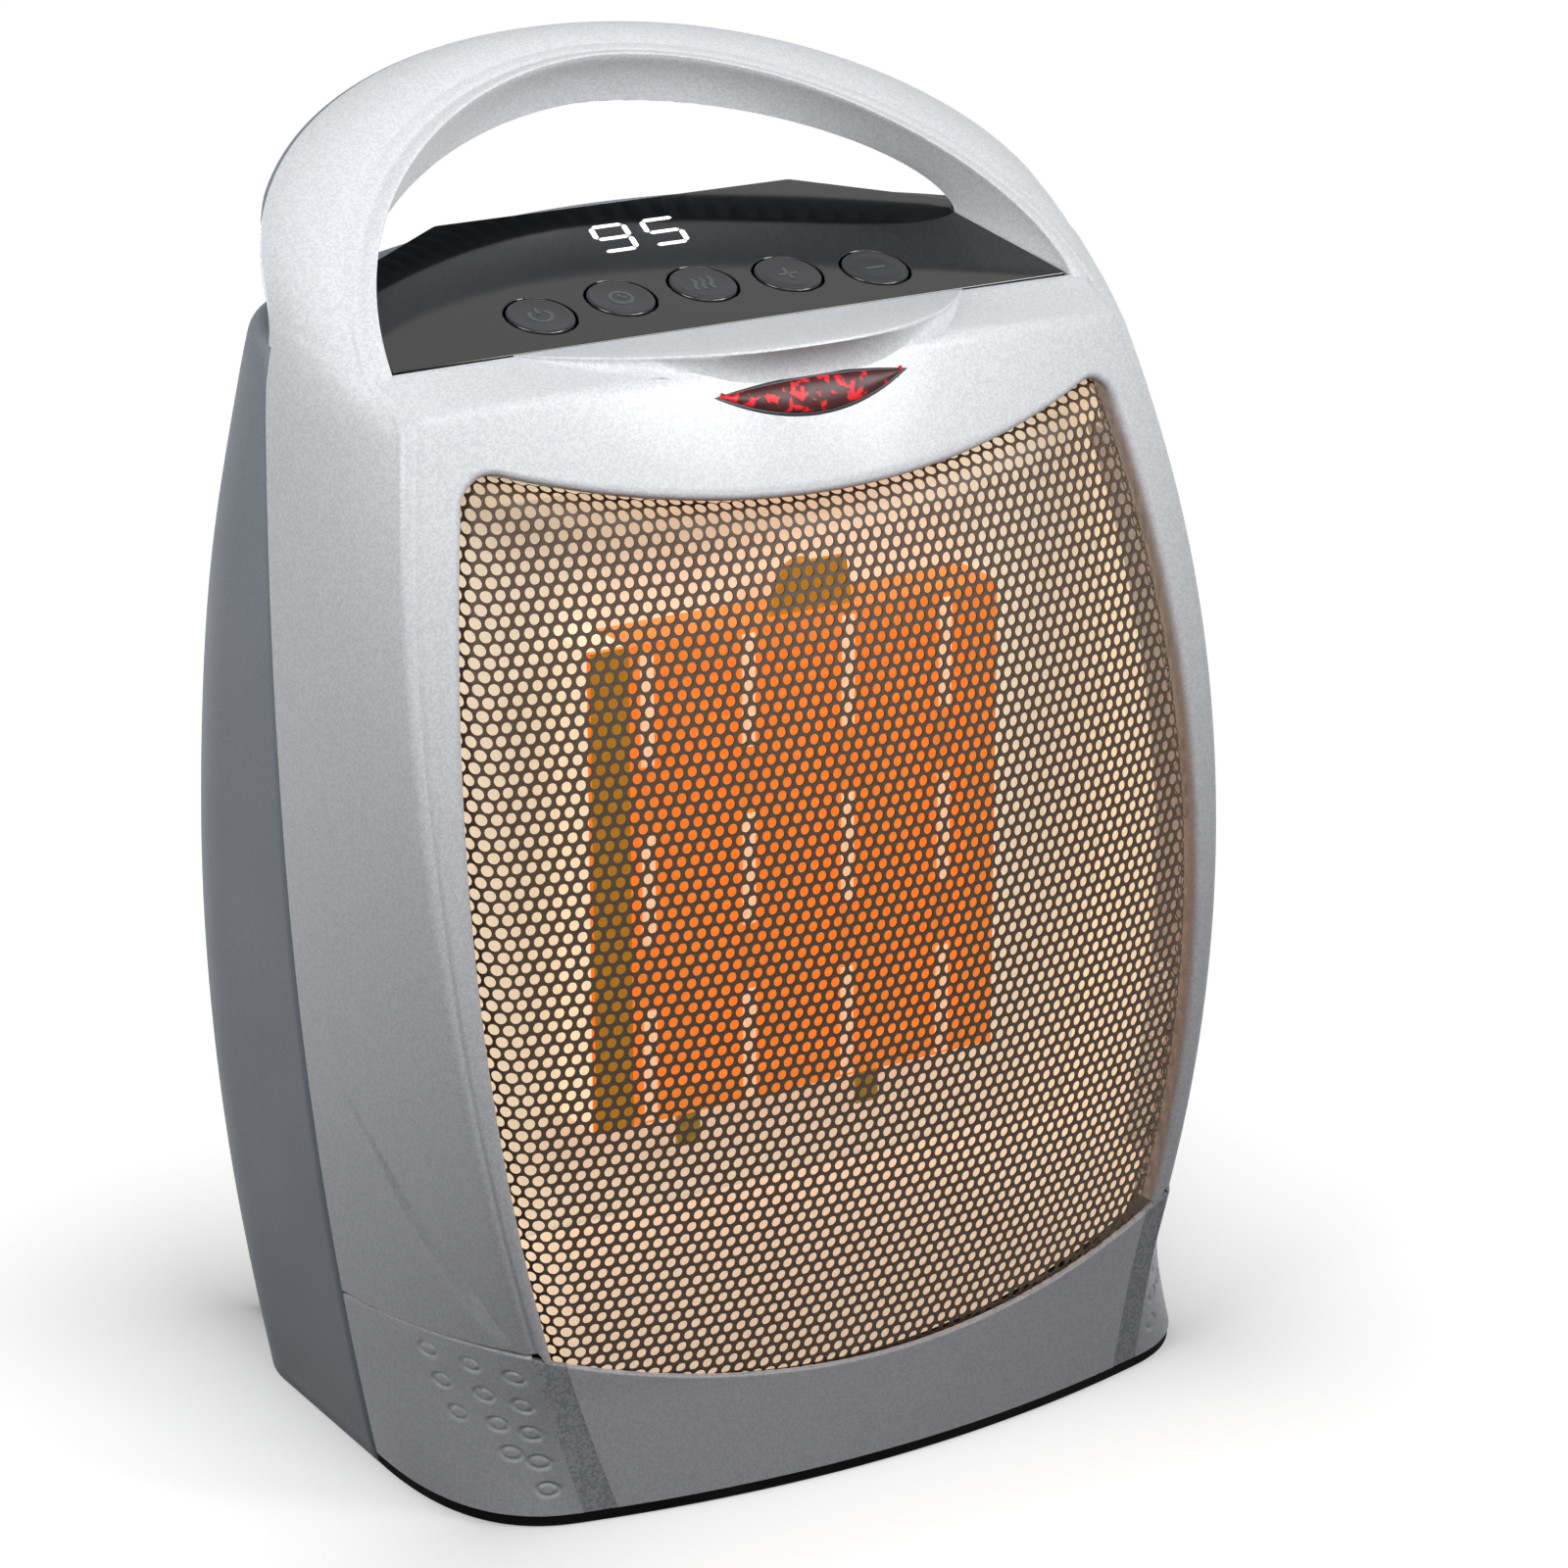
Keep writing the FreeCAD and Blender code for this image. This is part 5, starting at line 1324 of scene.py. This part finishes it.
@dataclass
class Grille:
    """Punched sheet pressed into a shallow pillow: round holes in a close lattice, its rim turned back."""

    pitch: float = 2.57
    hole: float = 2.02
    sheet: float = 0.5
    recess: float = 0.9
    turn_in: float = 4.5
    turn_back: float = 6.0
    rim_gap: float = 0.5
    foot_drop: float = 3.0
    liner_start: float = 7.0
    plate_y: float = -25.4
    plate_z: tuple[float, float] = (41.0, 185.0)
    sheet_z: tuple[float, float] = (35.0, 194.0)
    first_row_z: float = 8.0
    sides: int = 12

    def rim_profile(self) -> tuple[Array, Array, Array]:
        """Quarter ellipse of the rolled rim.

        Returns:
            Sideways travel, backward travel and length along the sheet, each of shape (60,).
        """
        turn = np.linspace(0.0, math.pi / 2.0, 60)
        side, back = self.turn_in * (1.0 - np.cos(turn)), self.turn_back * (1.0 - np.sin(turn))
        return side, back, run_length(np.stack([side, back], 1))

    def rolled(self, room: Array) -> tuple[Array, Array]:
        """Sideways and backward travel of the sheet near its rim.

        Args:
            room: distance from the rim measured along the sheet.

        Returns:
            Distance from the rim seen from the front, and how far back the sheet is there.
        """
        side, back, length = self.rim_profile()
        flat = self.turn_in + room - length[-1]
        across = np.where(room < length[-1], np.interp(room, length, side), flat)
        return across, np.interp(room, length, back)

    def extra(self) -> float:
        """How much longer the rolled rim is than it looks from the front."""
        return float(self.rim_profile()[2][-1]) - self.turn_in

    def press(self, flat: Array, lift: float) -> Array:
        """Press flat sheet points (across, up) into the pillow behind the window.

        Args:
            flat: points of shape (..., 2) on the flat sheet.
            lift: distance behind the sheet's face.

        Returns:
            Points of shape (..., 3).
        """
        extra = self.extra()
        a, b = flat[..., 0], flat[..., 1]
        top = CURVES.window_top_z(a) - self.rim_gap
        low = CURVES.seam_z(a) - self.foot_drop
        middle = (top + low) / 2.0
        upper = b > middle
        room = np.where(upper, top + extra - b, b - low + extra)
        across, back_v = self.rolled(np.maximum(room, 0.0))
        z = np.where(upper, top - across, low + across)
        half = CURVES.window_half(z) - self.rim_gap
        room = half + extra - np.abs(a)
        across, back_h = self.rolled(np.maximum(room, 0.0))
        x = np.sign(a) * (half - across)
        back = np.hypot(back_v, back_h)
        back = np.minimum(back, self.turn_back)
        y = CURVES.front_y(x, z) + self.recess + back + lift
        return np.stack([x, y, z], -1)

    def cells(self) -> Array:
        """Centres of the lattice on the flat sheet, inside the unrolled rim; odd rows are set off by half.

        Returns:
            Points (across, up) of shape (n, 2).
        """
        extra = self.extra()
        row = self.pitch * math.sqrt(3.0) / 2.0
        i, j = np.meshgrid(np.arange(-40, 41), np.arange(0, 100), indexing="ij")
        a = (i + 0.5 * (j % 2)) * self.pitch
        b = self.first_row_z + j * row
        top = CURVES.window_top_z(a) - self.rim_gap + extra
        low = CURVES.seam_z(a) - self.foot_drop - extra
        half = CURVES.window_half(np.clip(b, *self.sheet_z)) - self.rim_gap + extra
        edge = self.pitch / 2.0
        inside = (b < top - edge) & (b > low + edge) & (np.abs(a) < half - edge)
        return np.stack([a[inside], b[inside]], 1)

    def liner(self) -> Skin:
        """Cream funnel, ruled straight from the window's reveal back to the rim of the duct plate.

        Returns:
            The funnel, whose faces are to look inwards.
        """
        side, top = FrontShell().window_outline()
        left = np.concatenate([side, top[1:]])
        right = left[-2::-1] * np.array([-1.0, 1.0])
        foot_x = np.linspace(right[-1, 0], left[0, 0], 60)[1:-1]
        foot = np.stack([foot_x, CURVES.seam_z(foot_x) - self.foot_drop], 1)
        x, z = np.concatenate([left, right, foot]).T
        front = np.stack([x, CURVES.front_y(x, z) + self.liner_start, z], 1)
        back = np.stack([x, np.full(len(x), self.plate_y), np.clip(z, *self.plate_z)], 1)
        skin = Skin()
        skin.add_grid(mix(front[None], back[None], np.linspace(0.0, 1.0, 8)[:, None, None]), wrap=True)
        return skin

    def build(self) -> None:
        """Each cell is a ring of quads from its six-sided border to its round hole.

        Holes inside the rolled rim also get a wall through the sheet.
        """
        centres = self.cells()
        corner = np.arange(self.sides)
        turn = corner * 2.0 * math.pi / self.sides
        reach = self.pitch / 2.0 / np.where(corner % 2 == 0, 1.0, math.cos(math.pi / 6.0))
        rim = np.stack([np.cos(turn), np.sin(turn)], 1)
        border = centres[:, None] + rim * reach[:, None]
        hole = centres[:, None] + rim * self.hole / 2.0
        rings = np.stack([self.press(border, 0.0), self.press(hole, 0.0), self.press(hole, self.sheet)], 1)
        count = len(centres)
        index = np.arange(count * 3 * self.sides).reshape(count, 3, self.sides)
        after = np.roll(index, -1, axis=2)
        faces = np.stack([index[:, :2], after[:, :2], after[:, 1:], index[:, 1:]], -1)
        a, b = centres.T
        margin = self.turn_in + 0.6 * self.pitch
        walled = np.abs(a) < CURVES.window_half(np.clip(b, *self.sheet_z)) - margin
        walled &= (b > CURVES.seam_z(a)) & (b < CURVES.window_top_z(a) - margin)
        quads = np.concatenate([faces[:, 0].reshape(-1, 4), faces[walled, 1].reshape(-1, 4)])
        skin = Skin()
        skin.add_faces(rings.reshape(-1, 3), quads)
        sheet = skin.piece("punched_grille_sheet", PUNCHED_STEEL, toward=(0.0, -1.0, 0.0))
        settle(sheet, Body.HOUSING, "grille_metal", "grille")
        # painted glow: the cream liner glows to light up what shows through the holes
        lining = self.liner().piece("cream_air_liner", CREAM_PAINTED_GLOW)
        lining.data.flip_normals()
        settle(lining, Body.HOUSING, "duct_plastic")


@dataclass
class IndicatorLens:
    """Ruby lens below the brow: a slim lens outline, domed, in a thin black gasket."""

    half: float = 19.4
    tip_z: float = 203.8
    low_z: float = 199.2
    high_z: float = 205.0
    dome: float = 0.7
    lift: float = 0.16
    wall: float = 0.9
    gasket: float = 0.55
    gasket_dome: float = 0.05
    gasket_lift: float = 0.12
    gasket_wall: float = 0.8

    def blank(self, grow: float, dome: float, lift: float) -> Array:
        """Lens outline filled by rows between its two arcs and domed towards the middle.

        Args:
            grow: how much larger than the lens.
            dome: height of the middle over the edge.
            lift: height of the edge over the front face.

        Returns:
            Points of shape (13, 61, 3).
        """
        across = np.sin(np.linspace(-0.5, 0.5, 61) * math.pi)[None]
        up = np.linspace(0.0, 1.0, 13)[:, None]
        x = across * (self.half + 2.0 * grow)
        bow = 1.0 - across ** 2
        low = self.tip_z - (self.tip_z - self.low_z + grow) * bow
        high = self.tip_z + (self.high_z - self.tip_z + grow) * bow
        z = mix(low, high, up)
        rise = lift + dome * (1.0 - (2.0 * up - 1.0) ** 2) ** 0.6 * bow ** 0.5
        return np.stack([np.broadcast_to(x, z.shape), CURVES.front_y(x, z) - rise, z], -1)

    def build(self) -> None:
        """Make the gasket and the lens on it."""
        ahead = (0.0, -1.0, 0.0)
        seat = Skin.of(self.blank(self.gasket, self.gasket_dome, self.gasket_lift))
        gasket = seat.piece("lens_gasket", BLACK, toward=ahead, wall_mm=self.gasket_wall)
        settle(gasket, Body.HOUSING, "black_plastic")
        cap = Skin.of(self.blank(0.0, self.dome, self.lift))
        lens = cap.piece("ruby_indicator_lens", RUBY, toward=ahead, wall_mm=self.wall)
        settle(lens, Body.HOUSING, "red_lens", "indicator_lens")


class Mark(Enum):
    """Pictograms on the keys."""

    POWER = "power"
    CLOCK = "clock"
    WARMTH = "warmth"
    PLUS = "plus"
    MINUS = "minus"


@dataclass
class ControlPanel:
    """Glossy black plate with five round keys and a two-digit display under its face."""

    outline: tuple[tuple[float, float], ...] = (
        (72.2, 0.3), (64.4, 28.0), (64.4, 30.2), (67.4, 33.0), (38.8, 49.4),
    )
    corner: float = 0.9
    thick: float = 2.9
    bevel: float = 0.25
    key_x: tuple[float, ...] = (-36.0, -18.0, 0.0, 18.0, 36.0)
    key_depth: tuple[float, ...] = (12.0, 14.2, 15.0, 14.2, 12.0)
    key_hole: float = 6.95
    key_radii: tuple[float, ...] = (0.0, 3.0, 5.3, 5.8, 6.1, 6.3, 6.45, 6.45, 6.3, 0.0)
    key_levels: tuple[float, ...] = (0.08, 0.1, 0.14, 0.2, 0.18, 0.08, -0.15, -2.6, -2.9, -2.9)
    hole_points: int = 72
    key_points: int = 64
    mark_size: float = 2.1
    mark_lift: float = 0.17
    ink_thick: float = 0.12
    stroke: float = 0.75
    digit_size: tuple[float, float] = (7.0, 9.4)
    digit_gap: float = 4.0
    digit_place: tuple[float, float] = (-3.0, 36.0)
    digit_slant: float = 0.2
    digit_lift: float = 0.06
    segment: float = 1.15
    segment_gap: float = 0.25

    def rims(self) -> list[Array]:
        """Edges of the plate: its outline with corners rounded by quadratic curves, and the key holes.

        Returns:
            Closed outlines (across, depth), each of shape (n, 2).
        """
        right = np.array(self.outline)
        corners = np.concatenate([right, right[::-1] * np.array([-1.0, 1.0])])
        before, after = np.roll(corners, 1, axis=0), np.roll(corners, -1, axis=0)
        cut = corners + unit(before - corners) * self.corner
        end = corners + unit(after - corners) * self.corner
        flat = [np.concatenate([p, np.zeros((len(p), 1))], 1) for p in (cut, corners, end)]
        turn = np.linspace(0.0, 2.0 * math.pi, self.hole_points, endpoint=False)
        circle = np.stack([np.cos(turn), np.sin(turn)], 1) * self.key_hole
        holes = [circle + np.array([x, d]) for x, d in zip(self.key_x, self.key_depth)]
        return [curve_through(*flat, 6).reshape(-1, 3)[:, :2], *holes]

    def plate(self) -> bpy.types.Object:
        """Fill the outline less the key holes as a flat curve, and turn it to a bevelled plate.

        Returns:
            The plate as a mesh, placed on the housing.
        """
        curve = bpy.data.curves.new("panel_outline", "CURVE")
        curve.dimensions = "2D"
        curve.fill_mode = "BOTH"
        curve.extrude = (self.thick / 2.0 - self.bevel) * MM
        curve.bevel_depth = self.bevel * MM
        curve.bevel_resolution = 2
        curve.offset = -self.bevel * MM
        for rim in self.rims():
            spline = curve.splines.new("POLY")
            spline.points.add(len(rim) - 1)
            level = np.tile((0.0, 1.0), (len(rim), 1))
            spline.points.foreach_set("co", np.concatenate([rim * MM, level], 1).ravel())
            spline.use_cyclic_u = True
        shape = bpy.data.objects.new("panel_outline", curve)
        bpy.context.scene.collection.objects.link(shape)
        bpy.context.view_layer.update()
        mesh = bpy.data.meshes.new_from_object(shape.evaluated_get(bpy.context.evaluated_depsgraph_get()))
        bpy.data.objects.remove(shape)
        points = np.zeros(len(mesh.vertices) * 3)
        mesh.vertices.foreach_get("co", points)
        points = points.reshape(-1, 3) / MM
        placed = CURVES.on_panel(points[:, 0], points[:, 1], points[:, 2] - self.thick / 2.0)
        mesh.vertices.foreach_set("co", (placed * MM).ravel())
        mesh.update()
        mesh.name = "black_control_plate"
        mesh.polygons.foreach_set("use_smooth", np.zeros(len(mesh.polygons), dtype=bool))
        mesh.materials.clear()
        mesh.materials.append(GLOSS_BLACK.material())
        made = bpy.data.objects.new("black_control_plate", mesh)
        bpy.context.scene.collection.objects.link(made)
        return made

    def key(self, name: str, x: float, depth: float) -> bpy.types.Object:
        """Key turned about its axis: dished top, rounded edge, straight side, closed below.

        Args:
            name: the piece's name.
            x: the axis' place across the panel.
            depth: the axis' distance behind the panel's front edge.

        Returns:
            The key.
        """
        radius, height = np.array(self.key_radii)[:, None], np.array(self.key_levels)[:, None]
        turn = np.linspace(0.0, 2.0 * math.pi, self.key_points, endpoint=False)[None]
        skin = Skin()
        across, along = x + radius * np.cos(turn), depth + radius * np.sin(turn)
        skin.add_grid(CURVES.on_panel(across, along, height), wrap=True)
        return skin.piece(name, KEY_BLACK, sharp_deg=50.0)

    def ribbon(self, skin: Skin, path: Array, lift: float, width: float, wrap: bool = False) -> None:
        """Lay a flat stroke along a path on the panel's face.

        Args:
            skin: what the stroke is added to.
            path: points (across, depth) of shape (n, 2).
            lift: height over the panel's face.
            width: stroke width.
            wrap: closes the path.
        """
        run = np.roll(path, -1, axis=0) - np.roll(path, 1, axis=0) if wrap else np.gradient(path, axis=0)
        side = unit(run)[:, ::-1] * np.array([-1.0, 1.0]) * width / 2.0
        edges = [CURVES.on_panel(p[:, 0], p[:, 1], lift) for p in (path - side, path + side)]
        under = [CURVES.on_panel(p[:, 0], p[:, 1], lift - self.ink_thick) for p in (path - side, path + side)]
        skin.add_grid(np.stack([under[0], edges[0], edges[1], under[1]]), wrap=wrap)

    def arc(self, start: float, end: float) -> Array:
        """Arc of the pictograms' circle between two angles in degrees."""
        turn = np.radians(np.linspace(start, end, 40))
        return self.mark_size * np.stack([np.cos(turn), np.sin(turn)], 1)

    def bar(self, x0: float, y0: float, x1: float, y1: float) -> Array:
        """Straight stroke between two points."""
        return mix(np.array([x0, y0]), np.array([x1, y1]), np.linspace(0.0, 1.0, 4)[:, None])

    def mark(self, kind: Mark, x: float, depth: float) -> Skin:
        """Strokes of one pictogram, centred on its key.

        Args:
            kind: the pictogram.
            x: the key's place across the panel.
            depth: its distance behind the panel's front edge.

        Returns:
            The strokes.
        """
        size = self.mark_size
        rise = np.linspace(-1.0, 1.0, 24)
        wave, level = 0.5 * np.sin(rise * 3.0), self.bar(-size, 0.0, size, 0.0)
        paths = {
            Mark.POWER: [self.arc(130.0, 410.0), self.bar(0.0, 0.6, 0.0, size + 0.6)],
            Mark.CLOCK: [self.arc(0.0, 360.0), self.bar(0.0, -0.2, 0.0, 1.4), self.bar(-0.2, 0.0, 1.2, 0.0)],
            Mark.WARMTH: [np.stack([wave + shift, rise * size], 1) for shift in (-1.7, 0.0, 1.7)],
            Mark.PLUS: [level, self.bar(0.0, -size, 0.0, size)],
            Mark.MINUS: [level],
        }
        skin = Skin()
        for path in paths[kind]:
            self.ribbon(skin, np.array([x, depth]) + path, self.mark_lift, self.stroke)
        return skin

    def digits(self, number: str) -> Skin:
        """Two slanted seven-segment digits, each segment a bar with pointed ends.

        Args:
            number: two figures, each a five or a nine.

        Returns:
            The lit segments.
        """
        wide, tall = self.digit_size
        lit = {"5": "afgcd", "9": "abcdfg"}
        ends = {"a": (0, 2, 1, 2), "b": (1, 1, 1, 2), "c": (1, 0, 1, 1), "d": (0, 0, 1, 0),
                "e": (0, 0, 0, 1), "f": (0, 1, 0, 2), "g": (0, 1, 1, 1)}
        skin = Skin()
        for place, figure in enumerate(number):
            shift = (place - 0.5) * (wide + self.digit_gap) - wide / 2.0
            for name in lit[figure]:
                x0, y0, x1, y1 = ends[name]
                tips = np.array([[x0 * wide + shift, y0 * tall / 2.0], [x1 * wide + shift, y1 * tall / 2.0]])
                run = unit(tips[1] - tips[0])
                start, end = tips[0] + run * self.segment_gap, tips[1] - run * self.segment_gap
                side = np.array([-run[1], run[0]]) * self.segment / 2.0
                inset = run * self.segment / 2.0
                spine = np.stack([start, start + inset, end - inset, end])
                reach = np.array([0.05, 1.0, 1.0, 0.05])[:, None]
                rows = np.stack([spine - side * reach, spine + side * reach])
                rows[..., 0] += self.digit_slant * rows[..., 1]
                x = rows[..., 0] + self.digit_place[0]
                depth = rows[..., 1] + self.digit_place[1] - tall / 2.0
                skin.add_grid(CURVES.on_panel(x, depth, np.array(self.digit_lift)))
        return skin

    def build(self) -> None:
        """Plate, digits, and each key with its pictogram on its own body."""
        settle(self.plate(), Body.HOUSING, "panel_black", "control_panel", "display_window")
        up = (0.0, -0.26, 0.96)
        figures = self.digits("95").piece("lit_display_digits", LIT_WHITE, toward=up)
        settle(figures, Body.HOUSING, "display_gloss")
        bodies = (Body.POWER, Body.TIMER, Body.MODE, Body.PLUS, Body.MINUS)
        for body, kind, x, depth in zip(bodies, Mark, self.key_x, self.key_depth):
            key = self.key(f"round_key_{kind.value}", x, depth)
            settle(key, body, "black_plastic", body.value)
            ink = self.mark(kind, x, depth).piece(f"key_mark_{kind.value}", KEY_INK, toward=up)
            settle(ink, body, "black_plastic")


@dataclass
class HeatingBlock:
    """Ceramic heating block in painted glow: pleated fins, bars with pale strips, a side cap of painted shade
    and cream shields.
    """

    low_z: float = 70.5
    high_z: float = 152.5
    front_y: float = -36.6
    depth: float = 11.0
    pleat: float = 2.6
    fields: tuple[tuple[float, float], ...] = (
        (-36.8, -34.2), (-30.4, -12.7), (-8.9, 8.9), (12.7, 30.4), (34.2, 36.8),
    )
    bar_x: tuple[float, ...] = (-32.3, -10.8, 10.8, 32.3)
    strip_width: float = 2.8
    strip_length: float = 22.0
    strip_z: tuple[float, ...] = (76.0, 111.0, 146.0)
    strip_y: float = -37.6
    strip_rise: float = 0.7
    painted_shade_box: tuple[float, float, float, float] = (-44.0, -36.0, 64.5, 158.5)
    shield_gap: float = 0.2
    shield_depth: float = 14.0

    def fins(self) -> Skin:
        """Fins: a zigzag in height, carried across each field.

        Returns:
            The folded strips of all fields.
        """
        pleats = int(2 * (self.high_z - self.low_z) / self.pleat)
        z = np.linspace(self.low_z, self.high_z, pleats + 1)
        y = self.front_y + self.depth * (np.arange(pleats + 1) % 2)
        folds = [[np.stack([np.full(len(z), x), y, z], 1) for x in ends] for ends in self.fields]
        return Skin.of(*(np.stack(fold) for fold in folds))

    def strips(self) -> Skin:
        """Pale strips: half-round bars with closed ends, three on each bar's face.

        Returns:
            All strips.
        """
        profile = np.linspace(0.0, math.pi, 7)[None]
        across = -np.cos(profile) * self.strip_width / 2.0
        share = np.array([-0.5, -0.48, 0.48, 0.5])[:, None]
        y = self.strip_y - np.sin(profile) * self.strip_rise * (np.abs(share) < 0.5)
        skin = Skin()
        for x in self.bar_x:
            for middle in self.strip_z:
                rows = middle + share * self.strip_length
                skin.add_grid(np.stack(np.broadcast_arrays(x + across, y, rows), -1))
        return skin

    def cap(self) -> Skin:
        """Cap of painted shade, darker than the frame: a shallow channel over the frame's left bar.

        Returns:
            The cap.
        """
        x0, x1, z0, z1 = self.painted_shade_box
        across, up = np.meshgrid(np.array([x0, x0, x1, x1]), np.linspace(z0, z1, 9))
        deep = np.broadcast_to(np.array([2.0, 0.0, 0.0, 2.0]), up.shape)
        return Skin.of(np.stack([across, self.front_y - 1.0 + deep, up], -1))

    def shields(self) -> Skin:
        """Cream shields, in painted glow: flat sheets beside the frame and over its left end.

        Returns:
            The three sheets.
        """
        x0, x1, z0, z1 = self.painted_shade_box
        side_x = x0 - self.shield_gap
        back = np.linspace(self.front_y, self.front_y + self.shield_depth, 5)
        deep, up = np.meshgrid(back, np.linspace(z0, z1, 9))
        sides = [np.stack([np.full(up.shape, x), deep, up], -1) for x in (side_x, -side_x)]
        along, deep = np.meshgrid(np.linspace(side_x, x1, 5), back)
        return Skin.of(*sides, np.stack([along, deep, np.full(along.shape, z1 + self.shield_gap / 2.0)], -1))

    def build(self) -> None:
        """Make the fins, the strips on the bars, the cap and the shields."""
        ahead = (0.0, -1.0, 0.0)
        # painted glow: fins and strips glow orange though they are no lamps
        fins = self.fins().piece("pleated_heating_fins", FIN_PAINTED_GLOW, toward=ahead, wall_mm=0.35)
        settle(fins, Body.HOUSING, "heater_fin", "heating_fins")
        strips = self.strips().piece("pale_bar_strips", MICA_PAINTED_GLOW, toward=ahead, wall_mm=0.4)
        settle(strips, Body.HOUSING, "heater_bar")
        settle(self.cap().piece("painted_shade_side_cap", RESIN_PAINTED_SHADE_AND_GLOW, toward=ahead), Body.HOUSING, "heater_bar")
        settle(self.shields().piece("cream_side_shields", CREAM_PAINTED_GLOW), Body.HOUSING, "duct_plastic")


@dataclass(frozen=True)
class Lamp:
    """Square soft lamp: place and aim in metres, edge length, power, and the angle of its beam."""

    name: str
    place: tuple[float, float, float]
    aim: tuple[float, float, float]
    size: float
    watts: float
    beam_deg: float

    def build(self) -> None:
        """Add the lamp, turned to its aim, with a grid that narrows its beam."""
        data = bpy.data.lights.new(self.name, "AREA")
        data.size, data.energy = self.size, self.watts
        data.spread = math.radians(self.beam_deg)
        made = bpy.data.objects.new(self.name, data)
        back = unit(np.array(self.place) - np.array(self.aim))
        right = unit(np.cross(np.array([0.0, 1.0, 0.05]), back))
        pose = np.eye(4)
        pose[:3, :3] = np.stack([right, np.cross(back, right), back], 1)
        pose[:3, 3] = self.place
        made.matrix_world = Matrix(pose.tolist())
        bpy.context.scene.collection.objects.link(made)


@dataclass
class Studio:
    """Pale floor, soft lamps and the camera at the photograph's view."""

    eye: tuple[float, float, float] = (-450.47, -770.40, 430.77)
    ahead: tuple[float, float, float] = (0.49103, 0.80448, -0.33421)
    turn_deg: float = 31.3979
    lens: float = 112.5
    sensor: float = 36.0
    floor_half: float = 6000.0
    sky_light: float = 0.05
    lamps: tuple[Lamp, ...] = (
        Lamp("overhead_softbox", (-0.05, -0.3, 0.6), (0.0, -0.03, 0.26), 0.3, 0.085, 50.0),
        Lamp("left_softbox", (-0.6, -0.1, 0.5), (-0.05, 0.0, 0.24), 0.3, 0.215, 52.0),
        Lamp("upper_left_softbox", (-0.55, -0.25, 0.55), (-0.05, 0.0, 0.26), 0.25, 0.09, 40.0),
        Lamp("right_softbox", (0.42, -0.5, 0.6), (0.0, -0.03, 0.26), 0.3, 0.24, 36.0),
        Lamp("front_softbox", (0.2, -0.6, 0.62), (0.0, -0.03, 0.28), 0.25, 0.095, 28.0),
    )

    def camera(self) -> None:
        """Place the camera by its eye point and its right, up and back directions."""
        data = bpy.data.cameras.new("photo_view")
        data.lens, data.sensor_width = self.lens, self.sensor
        data.clip_start = 0.01
        turn = math.radians(self.turn_deg)
        right = np.array([math.cos(turn), -math.sin(turn), 0.0])
        back = -np.array(self.ahead)
        up = np.cross(back, right)
        pose = np.eye(4)
        pose[:3, :3] = np.stack([right, up, back], 1)
        pose[:3, 3] = np.array(self.eye) * MM
        made = bpy.data.objects.new("photo_view", data)
        made.matrix_world = Matrix(pose.tolist())
        bpy.context.scene.collection.objects.link(made)
        bpy.context.scene.camera = made

    def floor(self) -> None:
        """Wide level sheet of paper around the object."""
        share = np.linspace(-1.0, 1.0, 33)
        x, y = np.meshgrid(share * self.floor_half, share * self.floor_half, indexing="ij")
        skin = Skin.of(np.stack([x, y, np.zeros_like(x)], -1))
        sheet = skin.piece("paper_floor", PAPER, toward=(0.0, 0.0, 1.0))

    def sky(self) -> None:
        """White surroundings for the eye and for reflections, dimmer as light on the object."""
        world = bpy.data.worlds.new("white_studio")
        world.use_nodes = True
        tree = world.node_tree
        tree.nodes.clear()
        path = add_node(tree, "ShaderNodeLightPath").outputs
        seen = add_node(tree, "ShaderNodeMath", {0: path["Is Camera Ray"], 1: path["Is Glossy Ray"]},
                        operation="MAXIMUM")
        level = add_node(tree, "ShaderNodeMapRange",
                         {"Value": seen.outputs[0], "To Min": self.sky_light, "To Max": 1.0})
        shine = add_node(tree, "ShaderNodeBackground", {"Strength": level.outputs[0]})
        add_node(tree, "ShaderNodeOutputWorld", {"Surface": shine.outputs[0]})
        bpy.context.scene.world = world

    def build(self) -> None:
        """Set the stage."""
        self.camera()
        self.floor()
        self.sky()
        for lamp in self.lamps:
            lamp.build()
        bpy.context.scene.view_settings.view_transform = "Standard"


def dress_nodes(nodes: dict[str, bpy.types.Object]) -> None:
    """Give each frame node that stays in sight its own finish.

    Args:
        nodes: the frame's objects by name.
    """
    for name, finish in NODE_FINISHES.items():
        slots = nodes[name].data.materials
        slots.clear()
        slots.append(finish.material())


def main() -> None:
    """Build the pieces around the frame."""
    logging.basicConfig(level=logging.INFO, format="%(name)s %(message)s")
    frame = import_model()
    dress_nodes(frame["nodes"])
    parts = (FrontShell(), HandleGrip(), RearShell(), BaseCover(), Grille(), IndicatorLens(), ControlPanel(),
             HeatingBlock(), Studio())
    for part in parts:
        part.build()
        log.info("%s built", type(part).__name__)


if __name__ == "__main__":
    main()
